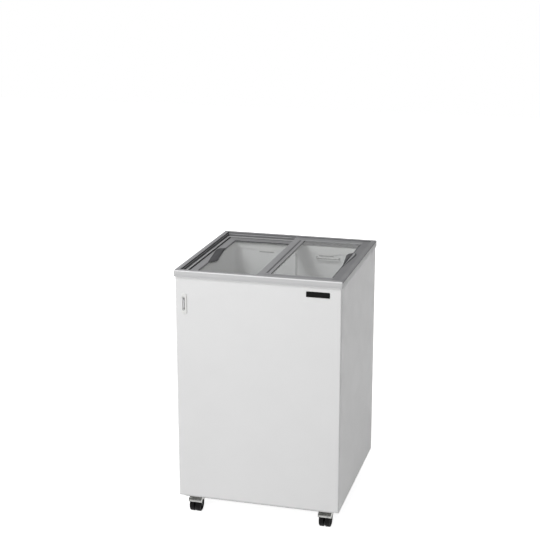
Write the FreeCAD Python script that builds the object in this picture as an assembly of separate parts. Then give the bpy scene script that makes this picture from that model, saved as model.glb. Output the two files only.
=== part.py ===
import FreeCAD, Part
import math
import os

V = FreeCAD.Vector

# Chest display freezer on castors, in millimetres.
# The origin is on the floor under the middle of the cabinet, +Z up, the front faces -Y.

# Cabinet
CABINET_WIDTH = 545.0
CABINET_DEPTH = 552.0
BODY_HEIGHT = 780.0
PANEL_SHEET = 1.0
PANEL_FOLD_RADIUS = 5.0
FRONT_RETURN = 9.0
REAR_RETURN = 12.0
BOTTOM_RETURN = 24.0
SEAM_GAP = 0.3

# Base pan
BASE_SHEET = 1.2
BASE_EDGE_DROP = 2.8
BASE_SIDE_INSET = 17.0
BASE_END_INSET = 5.0

# Rim with its two stepped lid tracks
RIM_OVERHANG = 4.0
RIM_SKIRT_HEIGHT = 21.0
RIM_WALL = 3.0
RIM_FLANGE = 17.0
RIM_CORNER_RADIUS = 5.0
RIM_EDGE_RADIUS = 3.5
RIM_MITRE_GAP = 0.3
UPPER_TRACK_END = 8.0
UPPER_TRACK_EDGE = 14.0
LOWER_TRACK_END = 24.0
LOWER_TRACK_EDGE = 16.0

# Sliding lids
LID_LENGTH = 266.0
LID_THICKNESS = 8.0
LID_DROP = 3.0
LID_SIDE_GAP = 1.5
LID_END_GAP = 1.5
LOWER_LID_REST_GAP = 7.0
LID_CLEARANCE = 1.0
OUTER_RAIL = 25.0
INNER_RAIL = 23.0
EDGE_RAIL = 33.0
GLASS_THICKNESS = 4.0
GLASS_RECESS = 2.0
GLASS_BITE = 8.0
GLASS_FIT = 0.2
OUTER_BEAD = 4.0
BEAD_THICKNESS = 0.6
INNER_GROOVE = 6.5
INNER_STRIP = 10.0
INNER_STRIP_RISE = 1.8
RAIL_EDGE_RADIUS = 1.2
GLIDE_LENGTH = 40.0
GLIDE_WIDTH = 9.0
GLIDE_HEIGHT = 4.0
GLIDE_INSET = 1.5
RUNNING_GAP = 0.3
SEAL_WIDTH = 8.0
SEAL_END_INSET = 2.0

# Lid grips
GRIP_OUTER_REACH = 16.0
GRIP_INNER_REACH = 21.0
GRIP_HALF_LENGTH = 95.0
GRIP_RISE = 4.0
GRIP_EDGE_RISE = 0.8
GRIP_GLASS_GAP = 1.0

# Insulated tub
WALL_INSET = 48.0
LINER_SHEET = 1.2
LINER_CORNER = 25.0
LINER_SEAM_WIDTH = 7.0
LINER_SEAM_RISE = 1.6
LINER_SEAM_DROP = 12.0
COLLAR_FLANGE = 3.0
COLLAR_WALL = 3.0
COLLAR_FIT = 0.3
COLLAR_EDGE_DROP = 48.5
DIP_DEPTH = 7.0
DIP_WIDTH = 76.0
DIP_FLOOR = 46.0
DIP_OFFSET = 108.0
SENSOR_OFFSET = 114.0
SENSOR_LENGTH = 78.0
SENSOR_DIAMETER = 6.0
SENSOR_STANDOFF = 11.0
SENSOR_BEND = 5.0
SENSOR_DROP = 64.0

# Evaporator coil round the liner
COIL_DIAMETER = 8.0
COIL_FIT = 0.5
COIL_TURNS = 8
COIL_PITCH = 52.0
COIL_LIFT = 26.0
COIL_START = 46.0
COIL_END = 40.0

# Machine bay behind the tub
BAY_DEPTH = 205.0
BAY_HEIGHT = 205.0
SLOT_COLUMNS = 3
SLOT_ROWS = 8
SLOT_LENGTH = 98.0
SLOT_HEIGHT = 8.0
SLOT_COLUMN_PITCH = 122.0
SLOT_ROW_PITCH = 20.0
SLOT_SHIFT = -62.0
CONTROL_SIDE_INSET = 77.5
POCKET_SIZE = 62.0
POCKET_DEPTH = 16.0
POCKET_LIFT = 140.0
KNOB_DIAMETER = 34.0
KNOB_HEIGHT = 12.0
KNOB_GAP = 0.5
KNOB_FLUTES = 12
KNOB_FLUTE_DIAMETER = 4.0
KNOB_POINTER_WIDTH = 3.0
KNOB_POINTER_RISE = 1.5
SHAFT_DIAMETER = 6.0
SHAFT_FIT = 0.05
SHAFT_LENGTH = 12.0
THERMOSTAT_SIZE = 38.0
THERMOSTAT_DEPTH = 26.0
GLAND_LIFT = 50.0
GLAND_FLANGE_DIAMETER = 22.0
GLAND_FLANGE = 3.0
GLAND_NECK_DIAMETER = 15.6
GLAND_NUT = 6.0
GLAND_BORE = 8.4
GLAND_FIT = 0.2

# Refrigeration set
COMPRESSOR_SIDE_INSET = 162.5
COMPRESSOR_SETBACK = 106.0
CAN_DIAMETER = 140.0
CAN_HEIGHT = 150.0
CAN_FLOOR_RADIUS = 10.0
CAN_DOME_RADIUS = 42.0
CAN_BELT_LIFT = 62.0
CAN_BELT_HEIGHT = 6.0
CAN_BELT_RISE = 5.0
FOOT_LENGTH = 190.0
FOOT_WIDTH = 34.0
FOOT_SHEET = 3.0
FOOT_SPACING = 110.0
FOOT_HOLE_SPACING = 160.0
GROMMET_DIAMETER = 20.0
GROMMET_NECK_DIAMETER = 12.0
GROMMET_HEIGHT = 12.0
GROMMET_COLLAR = 3.0
GROMMET_FIT = 0.1
STUB_LENGTH = 16.0
RELAY_WIDTH = 50.0
RELAY_DEPTH = 24.0
RELAY_HEIGHT = 38.0
RELAY_FIT = 0.3
CONDENSER_SIDE_INSET = 40.5
CONDENSER_LENGTH = 164.0
CONDENSER_SETBACK = 51.0
CONDENSER_LIFT = 30.0
CONDENSER_PASSES = 8
CONDENSER_PITCH = 22.0
CONDENSER_BEND = 10.0
CONDENSER_DIAMETER = 6.0
BRACKET_SHEET = 1.5
BRACKET_WIDTH = 24.0
BRACKET_INSET = 18.0
BRACKET_MARGIN = 9.0
BRACKET_FOOT = 16.0
BRACKET_FIT = 0.15
LINE_X = -36.0
DRIER_DIAMETER = 18.0
DRIER_LENGTH = 100.0
DRIER_TAPER = 14.0
DRIER_SETBACK = 76.0
DISCHARGE_LIFT = 77.0
DISCHARGE_X = -10.0
DISCHARGE_DIAMETER = 6.0
SUCTION_LIFT = 49.0
SUCTION_OFFSET = 20.0
SUCTION_X = 10.0
SUCTION_STANDOFF = 16.0
SUCTION_DIAMETER = 8.0
SUCTION_BEND = 7.5
CAPILLARY_DIAMETER = 2.5
CAPILLARY_BEND = 5.0
CAPILLARY_LEAD = 18.0
CAPILLARY_RISE = 140.0
PIPE_BEND = 12.0
PIPE_ROOM = 2.0

# Front fittings
BADGE_WIDTH = 76.0
BADGE_HEIGHT = 18.0
BADGE_THICKNESS = 1.8
BADGE_RADIUS = 2.5
BADGE_SIDE_INSET = 75.5
BADGE_DROP = 47.0
GAUGE_WIDTH = 17.0
GAUGE_HEIGHT = 68.0
GAUGE_THICKNESS = 3.2
GAUGE_BEVEL = 1.6
GAUGE_RADIUS = 6.0
GAUGE_SIDE_INSET = 30.5
GAUGE_DROP = 110.0
WINDOW_WIDTH = 8.0
WINDOW_HEIGHT = 48.0
WINDOW_THICKNESS = 1.4
WINDOW_SHIFT = -2.0
WINDOW_FIT = 0.1

# Castors
CASTOR_HEIGHT = 64.8
CASTOR_SIDE_INSET = 50.0
CASTOR_END_INSET = 47.0
CASTOR_TRAIL = 12.0
PLATE_SIZE = 60.0
PLATE_THICKNESS = 2.5
PLATE_RADIUS = 6.0
BOLT_SPACING = 42.0
BOLT_DIAMETER = 6.0
BOLT_HOLE_FIT = 0.2
BOLT_HEAD_DIAMETER = 11.0
BOLT_HEAD_HEIGHT = 4.0
BOLT_HEAD_SIDES = 6
RACE_DIAMETER = 40.0
RACE_HEIGHT = 2.0
KINGPIN_DIAMETER = 10.0
KINGPIN_FIT = 0.1
KINGPIN_HEAD_DIAMETER = 16.0
KINGPIN_HEAD = 2.4
HOOD_PLATE_DIAMETER = 42.0
HOOD_SHEET = 2.0
HOOD_WIDTH = 44.0
HOOD_NECK_WIDTH = 22.0
HOOD_GAP = 2.0
HOOD_LIP_ANGLE = 32.0
HOOD_BACK_ANGLE = 150.0
CHEEK_DEPTH = 12.0
WEB_THICKNESS = 4.0
WEB_BOSS_DIAMETER = 20.0
WHEEL_DIAMETER = 50.0
WHEEL_WIDTH = 16.0
WHEEL_GAP = 0.7
WHEEL_TREAD_RADIUS = 3.0
WHEEL_DISH_INNER = 8.0
WHEEL_DISH_OUTER = 18.0
WHEEL_DISH_DEPTH = 3.0
AXLE_DIAMETER = 8.0
AXLE_FIT = 0.05
AXLE_PRESS_GAP = 0.02
AXLE_END_INSET = 1.0

# Panel screws
SCREW_DIAMETER = 4.0
SCREW_HEAD_DIAMETER = 8.0
SCREW_HEAD = 1.8
SCREW_FIT = 0.15
SCREW_GRILLE_MARGIN = 24.0
SCREW_PANEL_ROWS = 3
SCREW_PANEL_MARGIN = 60.0

# How far a cutting tool passes beyond the piece it cuts, and how near counts as touching
CUT_OVER = 1.0
TOUCH = 0.001

# Levels and faces worked out from the sizes above
HALF_WIDTH = CABINET_WIDTH / 2
FRONT = -CABINET_DEPTH / 2
REAR = CABINET_DEPTH / 2
PANEL_BOTTOM = CASTOR_HEIGHT + BASE_SHEET
RIM_TOP = PANEL_BOTTOM + BODY_HEIGHT
RIM_BOTTOM = RIM_TOP - RIM_SKIRT_HEIGHT
PANEL_TOP = RIM_TOP - RIM_WALL
RIM_X = HALF_WIDTH + RIM_OVERHANG
RIM_Y = REAR + RIM_OVERHANG
UPPER_WELL_X = RIM_X - RIM_FLANGE
UPPER_WELL_Y = RIM_Y - RIM_FLANGE
LOWER_WELL_X = UPPER_WELL_X - UPPER_TRACK_END
LOWER_WELL_Y = UPPER_WELL_Y - UPPER_TRACK_EDGE
MOUTH_X = LOWER_WELL_X - LOWER_TRACK_END
MOUTH_Y = LOWER_WELL_Y - LOWER_TRACK_EDGE
UPPER_LID_TOP = RIM_TOP - LID_DROP
UPPER_LID_BOTTOM = UPPER_LID_TOP - LID_THICKNESS
LOWER_LID_TOP = UPPER_LID_BOTTOM - GRIP_RISE - LID_CLEARANCE
LOWER_LID_BOTTOM = LOWER_LID_TOP - LID_THICKNESS
UPPER_TRACK = UPPER_LID_BOTTOM - GLIDE_HEIGHT - RUNNING_GAP
LOWER_TRACK = LOWER_LID_BOTTOM - GLIDE_HEIGHT - RUNNING_GAP
COLLAR_TOP = LOWER_TRACK - RIM_WALL
COLLAR_BOTTOM = COLLAR_TOP - COLLAR_FLANGE
COLLAR_EDGE = RIM_TOP - COLLAR_EDGE_DROP
COLLAR_LIP = LOWER_LID_BOTTOM - LID_CLEARANCE
BACK_SKIN = REAR - PANEL_SHEET
BACK_INSIDE = BACK_SKIN - PANEL_SHEET
FOAM_BOTTOM = PANEL_BOTTOM + PANEL_SHEET
BAY_FRONT = REAR - BAY_DEPTH
BAY_TOP = PANEL_BOTTOM + BAY_HEIGHT
LINER_X = HALF_WIDTH - WALL_INSET
LINER_Y = REAR - WALL_INSET
LINER_FLOOR = FOAM_BOTTOM + WALL_INSET
STEP_Y = BAY_FRONT - PANEL_SHEET - WALL_INSET
STEP_FLOOR = BAY_TOP + PANEL_SHEET + WALL_INSET
COIL_SETOFF = LINER_SHEET + COIL_FIT + COIL_DIAMETER / 2
COIL_X = LINER_X + COIL_SETOFF
COIL_Y = LINER_Y + COIL_SETOFF
COIL_BEND = LINER_CORNER + COIL_SETOFF
COIL_BOTTOM = STEP_FLOOR + COIL_LIFT
COIL_TOP = COIL_BOTTOM + COIL_PITCH * (COIL_TURNS - 1)
COMPRESSOR_X = HALF_WIDTH - COMPRESSOR_SIDE_INSET
COMPRESSOR_Y = REAR - COMPRESSOR_SETBACK
FOOT_BOTTOM = PANEL_BOTTOM + GROMMET_HEIGHT
CAN_BOTTOM = FOOT_BOTTOM + FOOT_SHEET
CONDENSER_X0 = CONDENSER_SIDE_INSET - HALF_WIDTH
CONDENSER_X1 = CONDENSER_X0 + CONDENSER_LENGTH
CONDENSER_Y = REAR - CONDENSER_SETBACK
CONDENSER_BOTTOM = PANEL_BOTTOM + CONDENSER_LIFT
CONDENSER_TOP = CONDENSER_BOTTOM + CONDENSER_PITCH * (CONDENSER_PASSES - 1)
DRIER_END = REAR - DRIER_SETBACK
DRIER_START = DRIER_END - DRIER_LENGTH
SUCTION_Y = COIL_Y + SUCTION_STANDOFF
CONTROL_X = HALF_WIDTH - CONTROL_SIDE_INSET
POCKET_Z = PANEL_BOTTOM + POCKET_LIFT
POCKET_FLOOR = BACK_INSIDE - POCKET_DEPTH
GLAND_Z = PANEL_BOTTOM + GLAND_LIFT
BADGE_X = HALF_WIDTH - BADGE_SIDE_INSET
GAUGE_X = GAUGE_SIDE_INSET - HALF_WIDTH
CASTOR_X = HALF_WIDTH - CASTOR_SIDE_INSET
CASTOR_Y = REAR - CASTOR_END_INSET
RACE_BOTTOM = CASTOR_HEIGHT - PLATE_THICKNESS - RACE_HEIGHT
HOOD_TOP = RACE_BOTTOM - RUNNING_GAP
HOOD_PLATE_BOTTOM = HOOD_TOP - HOOD_SHEET
WHEEL_INNER_FACE = WEB_THICKNESS / 2 + WHEEL_GAP
WHEEL_OUTER_FACE = WHEEL_INNER_FACE + WHEEL_WIDTH
CASTORS = {
    "front_left": (-CASTOR_X, -CASTOR_Y),
    "front_right": (CASTOR_X, -CASTOR_Y),
    "rear_left": (-CASTOR_X, CASTOR_Y),
    "rear_right": (CASTOR_X, CASTOR_Y),
}
AXIS_X = V(1, 0, 0)
AXIS_Y = V(0, 1, 0)
AXIS_Z = V(0, 0, 1)


def block(x0, x1, y0, y1, z0, z1):
    """Box between two opposite corners, given in any order along x."""
    return Part.makeBox(abs(x1 - x0), y1 - y0, z1 - z0, V(min(x0, x1), y0, z0))


def upright_edges(solid, keep=lambda point: True):
    """Straight vertical edges of a solid whose middle point passes the test."""
    edges = []
    for edge in solid.Edges:
        first, last = edge.Vertexes[0].Point, edge.Vertexes[-1].Point
        if math.hypot(first.x - last.x, first.y - last.y) < TOUCH and keep((first + last) / 2):
            edges.append(edge)
    return edges


def rounded_block(x0, x1, y0, y1, z0, z1, radius):
    """Box with its vertical edges rounded."""
    solid = block(x0, x1, y0, y1, z0, z1)
    return solid.makeFillet(radius, upright_edges(solid))


def frame_ring(outer_x, outer_y, inner_x, inner_y, z0, z1):
    """Rectangular ring centred on the origin."""
    outer = block(-outer_x, outer_x, -outer_y, outer_y, z0, z1)
    return outer.cut(block(-inner_x, inner_x, -inner_y, inner_y, z0 - CUT_OVER, z1 + CUT_OVER))


def rod(radius, start, length, axis):
    """Cylinder from a start point along an axis."""
    return Part.makeCylinder(radius, length, start, axis)


def polygon(points, reach):
    """Prism of a closed outline of points, pushed along a vector."""
    return Part.Face(Part.makePolygon(points + points[:1])).extrude(reach)


def join(solids):
    """One solid made of touching or crossing solids."""
    return solids[0].multiFuse(solids[1:]).removeSplitter()


def bent_path(points, bend):
    """Straight runs through the points, with a tangent arc of one radius at each corner."""
    edges = []
    start = points[0]
    for before, corner, after in zip(points, points[1:], points[2:]):
        into = (before - corner).normalize()
        out = (after - corner).normalize()
        half_turn = (math.pi - into.getAngle(out)) / 2
        setback = bend * math.tan(half_turn)
        first = corner + into * setback
        last = corner + out * setback
        middle = corner + (into + out).normalize() * (bend / math.cos(half_turn) - bend)
        edges.append(Part.LineSegment(start, first).toShape())
        edges.append(Part.Arc(first, middle, last).toShape())
        start = last
    edges.append(Part.LineSegment(start, points[-1]).toShape())
    return Part.Wire(edges)


def bent_tube(points, bend, diameter):
    """Round tube along bent runs, its volume held against section times length."""
    path = bent_path(points, bend)
    section = Part.Wire(Part.makeCircle(diameter / 2, points[0], points[1] - points[0]))
    tube = path.makePipeShell([section], True, False)
    expected = math.pi * diameter ** 2 / 4 * path.Length
    print("tube volume over section times length:", round(tube.Volume / expected, 4))
    return tube


def front_panel():
    """Front sheet with rounded folds, short side returns and a bottom return."""
    def folded(shrink, radius, over):
        solid = block(-HALF_WIDTH + shrink, HALF_WIDTH - shrink, FRONT + shrink, FRONT + FRONT_RETURN + over,
                      PANEL_BOTTOM - over, PANEL_TOP + over)
        fold = FRONT + 2 * shrink + TOUCH
        return solid.makeFillet(radius, upright_edges(solid, lambda point: point.y < fold))
    skin = folded(0.0, PANEL_FOLD_RADIUS, 0.0).cut(
        folded(PANEL_SHEET, PANEL_FOLD_RADIUS - PANEL_SHEET, CUT_OVER))
    foot = block(-HALF_WIDTH + PANEL_FOLD_RADIUS, HALF_WIDTH - PANEL_FOLD_RADIUS,
                 FRONT, FRONT + BOTTOM_RETURN, PANEL_BOTTOM, FOAM_BOTTOM)
    return join([skin, foot])


def screw_levels():
    """Heights of the screws: two on the grille, then evenly up the rear panel."""
    low = BAY_TOP + SCREW_PANEL_MARGIN
    step = (PANEL_TOP - SCREW_PANEL_MARGIN - low) / (SCREW_PANEL_ROWS - 1)
    levels = [PANEL_BOTTOM + SCREW_GRILLE_MARGIN, BAY_TOP - SCREW_GRILLE_MARGIN]
    return levels + [low + step * row for row in range(SCREW_PANEL_ROWS)]


def screw_spots():
    """Points on the rear face where the screws pass through the side returns."""
    middle = HALF_WIDTH - REAR_RETURN / 2
    return [V(side * middle, REAR, level) for side in (-1, 1) for level in screw_levels()]


def screw_holes():
    """Clearance holes for the rear screws."""
    radius = SCREW_DIAMETER / 2 + SCREW_FIT
    return [rod(radius, spot + AXIS_Y * CUT_OVER, 2 * PANEL_SHEET + 2 * CUT_OVER, -AXIS_Y)
            for spot in screw_spots()]


def side_panel(side):
    """Side sheet with its rear and bottom returns, pierced for the rear screws."""
    face = side * HALF_WIDTH
    seam = FRONT + FRONT_RETURN + SEAM_GAP
    skin = block(face, face - side * PANEL_SHEET, seam, REAR, PANEL_BOTTOM, PANEL_TOP)
    back = block(face, face - side * REAR_RETURN, BACK_SKIN, REAR, PANEL_BOTTOM, PANEL_TOP)
    foot = block(face, face - side * BOTTOM_RETURN, FRONT + BOTTOM_RETURN + SEAM_GAP, REAR,
                 PANEL_BOTTOM, FOAM_BOTTOM)
    return join([skin, back, foot]).cut(screw_holes())


def rear_panel():
    """Flat sheet behind the side returns, above the machine bay."""
    half = HALF_WIDTH - PANEL_SHEET - SEAM_GAP
    return block(-half, half, BACK_INSIDE, BACK_SKIN, BAY_TOP, PANEL_TOP).cut(screw_holes())


def panel_screws():
    """Pan head screws that hold the rear panel and the grille to the side returns."""
    screws = []
    for spot in screw_spots():
        head = rod(SCREW_HEAD_DIAMETER / 2, spot, SCREW_HEAD, AXIS_Y)
        crown = [edge for edge in head.Edges if edge.BoundBox.YMin > REAR + TOUCH]
        head = head.makeFillet(SCREW_HEAD / 2, crown)
        shank = rod(SCREW_DIAMETER / 2, spot, 2 * PANEL_SHEET, -AXIS_Y)
        screws.append(join([head, shank]))
    return Part.makeCompound(screws)


def castor_bolt_spots():
    """Bolt centres of the four castor plates."""
    reach = BOLT_SPACING / 2
    return [(x + dx, y + dy) for x, y in CASTORS.values() for dx in (-reach, reach) for dy in (-reach, reach)]


def foot_bolt_spots():
    """Bolt centres of the compressor feet."""
    along, across = FOOT_HOLE_SPACING / 2, FOOT_SPACING / 2
    return [(COMPRESSOR_X + dx, COMPRESSOR_Y + dy) for dx in (-along, along) for dy in (-across, across)]


def base_pan():
    """Inverted shallow pan that closes the bottom, pierced for the bolts."""
    half_x, half_y = HALF_WIDTH - BASE_SIDE_INSET, REAR - BASE_END_INSET
    bottom = CASTOR_HEIGHT - BASE_EDGE_DROP
    plate = block(-half_x, half_x, -half_y, half_y, CASTOR_HEIGHT, PANEL_BOTTOM)
    edge = frame_ring(half_x, half_y, half_x - BASE_SHEET, half_y - BASE_SHEET, bottom, PANEL_BOTTOM)
    radius = BOLT_DIAMETER / 2 + BOLT_HOLE_FIT
    holes = [rod(radius, V(x, y, bottom), PANEL_BOTTOM - bottom + CUT_OVER, AXIS_Z)
             for x, y in castor_bolt_spots() + foot_bolt_spots()]
    return join([plate, edge]).cut(holes)


def rim_ring():
    """Whole rim as one stepped ring: skirt, flange, upper track and lower track."""
    skirt_x, skirt_y = HALF_WIDTH + SEAM_GAP, REAR + SEAM_GAP
    ring = join([
        frame_ring(RIM_X, RIM_Y, skirt_x, skirt_y, RIM_BOTTOM, RIM_TOP),
        frame_ring(RIM_X, RIM_Y, UPPER_WELL_X, UPPER_WELL_Y, PANEL_TOP, RIM_TOP),
        frame_ring(UPPER_WELL_X + RIM_WALL, UPPER_WELL_Y + RIM_WALL, UPPER_WELL_X, UPPER_WELL_Y,
                   UPPER_TRACK - RIM_WALL, RIM_TOP),
        frame_ring(UPPER_WELL_X + RIM_WALL, UPPER_WELL_Y + RIM_WALL, LOWER_WELL_X, LOWER_WELL_Y,
                   UPPER_TRACK - RIM_WALL, UPPER_TRACK),
        frame_ring(LOWER_WELL_X + RIM_WALL, LOWER_WELL_Y + RIM_WALL, LOWER_WELL_X, LOWER_WELL_Y,
                   COLLAR_TOP, UPPER_TRACK),
        frame_ring(LOWER_WELL_X + RIM_WALL, LOWER_WELL_Y + RIM_WALL, MOUTH_X, MOUTH_Y,
                   COLLAR_TOP, LOWER_TRACK),
    ])
    corners = upright_edges(ring, lambda point: abs(point.x) > RIM_X - TOUCH and abs(point.y) > RIM_Y - TOUCH)
    ring = ring.makeFillet(RIM_CORNER_RADIUS, corners)
    top = [edge for edge in ring.Edges if edge.BoundBox.ZMin > RIM_TOP - TOUCH]
    return ring.makeFillet(RIM_EDGE_RADIUS, [edge for edge in top if on_outline(edge.BoundBox)])


def on_outline(box):
    """True where a box touches the outer sides of the rim or lies in a rounded corner."""
    reach_x, reach_y = max(box.XMax, -box.XMin), max(box.YMax, -box.YMin)
    return reach_x > RIM_X - TOUCH or reach_y > RIM_Y - TOUCH


def rim_rails():
    """Four rails mitred from the rim ring, with a hairline gap at each mitre."""
    ring = rim_ring()
    gap = RIM_MITRE_GAP / 2
    x, y = RIM_X + CUT_OVER, RIM_Y + CUT_OVER
    band = max(RIM_X - MOUTH_X, RIM_Y - MOUTH_Y) + 2 * CUT_OVER
    outlines = {}
    for across, along, side in (("front", "left", -1), ("rear", "right", 1)):
        outlines[across] = [(gap - x, side * y), (x - gap, side * y),
                            (x - gap - band, side * (y - band)), (gap - x + band, side * (y - band))]
        outlines[along] = [(side * x, gap - y), (side * x, y - gap),
                           (side * (x - band), y - gap - band), (side * (x - band), gap - y + band)]
    low = COLLAR_TOP - CUT_OVER
    reach = AXIS_Z * (RIM_TOP - low + CUT_OVER)
    return {name + "_rim_rail": ring.common(polygon([V(px, py, low) for px, py in outline], reach))
            for name, outline in outlines.items()}


class Lid:
    """One sliding glass lid, set out from its outer end inwards."""

    def __init__(self, outer_end, inward, half_depth, top):
        self.outer_end = outer_end
        self.inward = inward
        self.half = half_depth
        self.top = top
        self.bottom = top - LID_THICKNESS
        self.glass_top = top - GLASS_RECESS
        self.glass_bottom = self.glass_top - GLASS_THICKNESS
        self.inner_edge = LID_LENGTH - INNER_RAIL
        self.clear_half = half_depth - EDGE_RAIL

    def x(self, distance):
        """Place along x of a distance from the outer end."""
        return self.outer_end + self.inward * distance

    def slab(self, u0, u1, y0, y1, z0, z1):
        """Box between two distances from the outer end."""
        return block(self.x(u0), self.x(u1), y0, y1, z0, z1)

    def glass_space(self, fit):
        """Space of the glass pane, grown by a fit."""
        half = self.clear_half + GLASS_BITE + fit
        return self.slab(OUTER_RAIL - GLASS_BITE - fit, self.inner_edge + GLASS_BITE + fit,
                         -half, half, self.glass_bottom - fit, self.glass_top + fit)

    def softened(self, rail):
        """Rail with its long top edges eased."""
        edges = [edge for edge in rail.Edges
                 if edge.BoundBox.ZMin > self.top - TOUCH and edge.Length > self.clear_half / 2]
        return rail.makeFillet(RAIL_EDGE_RADIUS, edges)

    def bead(self, u0, u1, rise):
        """Lip that lies on the glass beside an end rail."""
        half = self.clear_half - SEAM_GAP
        return self.slab(u0, u1, -half, half, self.glass_top + GLASS_FIT, self.glass_top + GLASS_FIT + rise)

    def outer_rail(self):
        """End rail with a narrow bead on the glass."""
        rail = self.softened(self.slab(0, OUTER_RAIL, -self.half, self.half, self.bottom, self.top))
        bead = self.bead(OUTER_RAIL - CUT_OVER, OUTER_RAIL + OUTER_BEAD, BEAD_THICKNESS)
        return join([rail.cut(self.glass_space(GLASS_FIT)), bead])

    def inner_rail(self):
        """Middle rail with a groove and a raised strip on the glass."""
        rail = self.slab(self.inner_edge, LID_LENGTH, -self.half, self.half, self.bottom, self.top)
        rail = self.softened(rail).cut(self.glass_space(GLASS_FIT))
        groove_edge = self.inner_edge - INNER_GROOVE
        bead = self.bead(groove_edge - INNER_STRIP, self.inner_edge + CUT_OVER, BEAD_THICKNESS)
        strip = self.bead(groove_edge - INNER_STRIP, groove_edge, INNER_STRIP_RISE)
        return join([rail, bead, strip])

    def edge_rails(self):
        """Front and rear rails between the end rails, which hold the long edges of the glass."""
        rails = []
        for y0, y1 in ((-self.half, -self.clear_half), (self.clear_half, self.half)):
            rail = self.slab(OUTER_RAIL, self.inner_edge, y0, y1, self.bottom, self.top)
            rails.append(self.softened(rail).cut(self.glass_space(GLASS_FIT)))
        return Part.makeCompound(rails)

    def glides(self):
        """Four nylon glides under the edge rails."""
        pads = []
        for u in (OUTER_RAIL, self.inner_edge - GLIDE_LENGTH):
            for y in (-self.half + GLIDE_INSET, self.half - GLIDE_INSET - GLIDE_WIDTH):
                pads.append(self.slab(u, u + GLIDE_LENGTH, y, y + GLIDE_WIDTH,
                                      self.bottom - GLIDE_HEIGHT, self.bottom))
        return Part.makeCompound(pads)

    def grip(self):
        """Moulded hand grip: a lens in plan, half on the end rail, ridged over the rail's inner edge."""
        ridge = self.x(OUTER_RAIL)
        outer = self.x(OUTER_RAIL - GRIP_OUTER_REACH)
        tip = self.x(OUTER_RAIL + GRIP_INNER_REACH)
        floor = self.glass_top + GRIP_GLASS_GAP
        crest = self.top + GRIP_RISE
        low = self.top + GRIP_EDGE_RISE
        half = GRIP_HALF_LENGTH
        ends = [V(ridge, -half, floor), V(ridge, half, floor)]
        plan = Part.Wire([Part.Arc(ends[0], V(tip, 0, floor), ends[1]).toShape(),
                          Part.Arc(ends[1], V(outer, 0, floor), ends[0]).toShape()])
        plan = Part.Face(plan).extrude(AXIS_Z * (crest - floor + CUT_OVER))
        edge = self.x(OUTER_RAIL + SEAM_GAP)
        across = [(outer, self.top), (outer, low), (ridge, crest), (tip, self.top),
                  (tip, floor), (edge, floor), (edge, self.top)]
        across = polygon([V(x, -half, z) for x, z in across], AXIS_Y * (2 * half))
        side = min(outer, tip)
        crown = [V(side, -half, low), V(side, 0, crest), V(side, half, low)]
        under = [V(side, half, floor), V(side, -half, floor)]
        along = Part.Wire([Part.Arc(*crown).toShape()] + [
            Part.LineSegment(a, b).toShape() for a, b in zip([crown[2]] + under, under + [crown[0]])])
        along = Part.Face(along).extrude(AXIS_X * (GRIP_OUTER_REACH + GRIP_INNER_REACH))
        return plan.common(across).common(along)

    def seal(self):
        """Brush seal that stands on the middle rail and meets the lid above."""
        middle = self.inner_edge + INNER_RAIL / 2
        half = self.half - SEAL_END_INSET
        return self.slab(middle - SEAL_WIDTH / 2, middle + SEAL_WIDTH / 2, -half, half,
                         self.top, UPPER_LID_BOTTOM - RUNNING_GAP)


def left_lid():
    """Lower lid, on the left."""
    return Lid(-LOWER_WELL_X + LOWER_LID_REST_GAP, 1, LOWER_WELL_Y - LID_SIDE_GAP, LOWER_LID_TOP)


def right_lid():
    """Upper lid, on the right."""
    return Lid(UPPER_WELL_X - LID_END_GAP, -1, UPPER_WELL_Y - LID_SIDE_GAP, UPPER_LID_TOP)


def tub_space(grow, floor_grow, top):
    """Space of the tub with its step over the machine bay, grown outwards from the inner faces."""
    x, y = LINER_X + grow, LINER_Y + grow
    radius = LINER_CORNER + grow
    deep = rounded_block(-x, x, -y, STEP_Y + grow, LINER_FLOOR - floor_grow, top, radius)
    wide = rounded_block(-x, x, -y, y, STEP_FLOOR - floor_grow, top, radius)
    return join([deep, wide])


def inner_liner():
    """Thin tub with a lock seam down the middle of its rear wall."""
    outside = tub_space(LINER_SHEET, LINER_SHEET, COLLAR_BOTTOM)
    inside = tub_space(0.0, 0.0, COLLAR_BOTTOM + CUT_OVER)
    reach, bite = LINER_SEAM_WIDTH / 2, LINER_SHEET / 2
    seam = block(-reach, reach, LINER_Y - LINER_SEAM_RISE, LINER_Y + bite,
                 STEP_FLOOR - bite, COLLAR_EDGE - LINER_SEAM_DROP)
    return join([outside.cut(inside), seam])


def collar_opening(shrink, z0, z1):
    """Rounded mouth of the collar, shrunk from the liner's inner faces."""
    x, y = LINER_X - shrink, LINER_Y - shrink
    return rounded_block(-x, x, -y, y, z0, z1, LINER_CORNER - shrink)


def liner_collar():
    """White frame that bridges cabinet and liner, with a lip under the lids and dips in its lower edge."""
    reach = HALF_WIDTH - PANEL_SHEET
    flange = rounded_block(-reach, reach, FRONT + PANEL_SHEET, BACK_INSIDE,
                           COLLAR_BOTTOM, COLLAR_TOP, PANEL_FOLD_RADIUS)
    low = COLLAR_EDGE - DIP_DEPTH
    skirt = collar_opening(COLLAR_FIT, COLLAR_EDGE, COLLAR_LIP)
    dips = []
    for centre in (-DIP_OFFSET, DIP_OFFSET):
        outline = [(centre - DIP_WIDTH / 2, COLLAR_EDGE), (centre + DIP_WIDTH / 2, COLLAR_EDGE),
                   (centre + DIP_FLOOR / 2, low), (centre - DIP_FLOOR / 2, low)]
        half = LINER_Y - COLLAR_FIT
        dips.append(polygon([V(x, -half, z) for x, z in outline], AXIS_Y * (2 * half)))
    hollow = collar_opening(COLLAR_FIT + COLLAR_WALL, low - CUT_OVER, COLLAR_LIP + CUT_OVER)
    return join([flange, skirt] + dips).cut(hollow)


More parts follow.
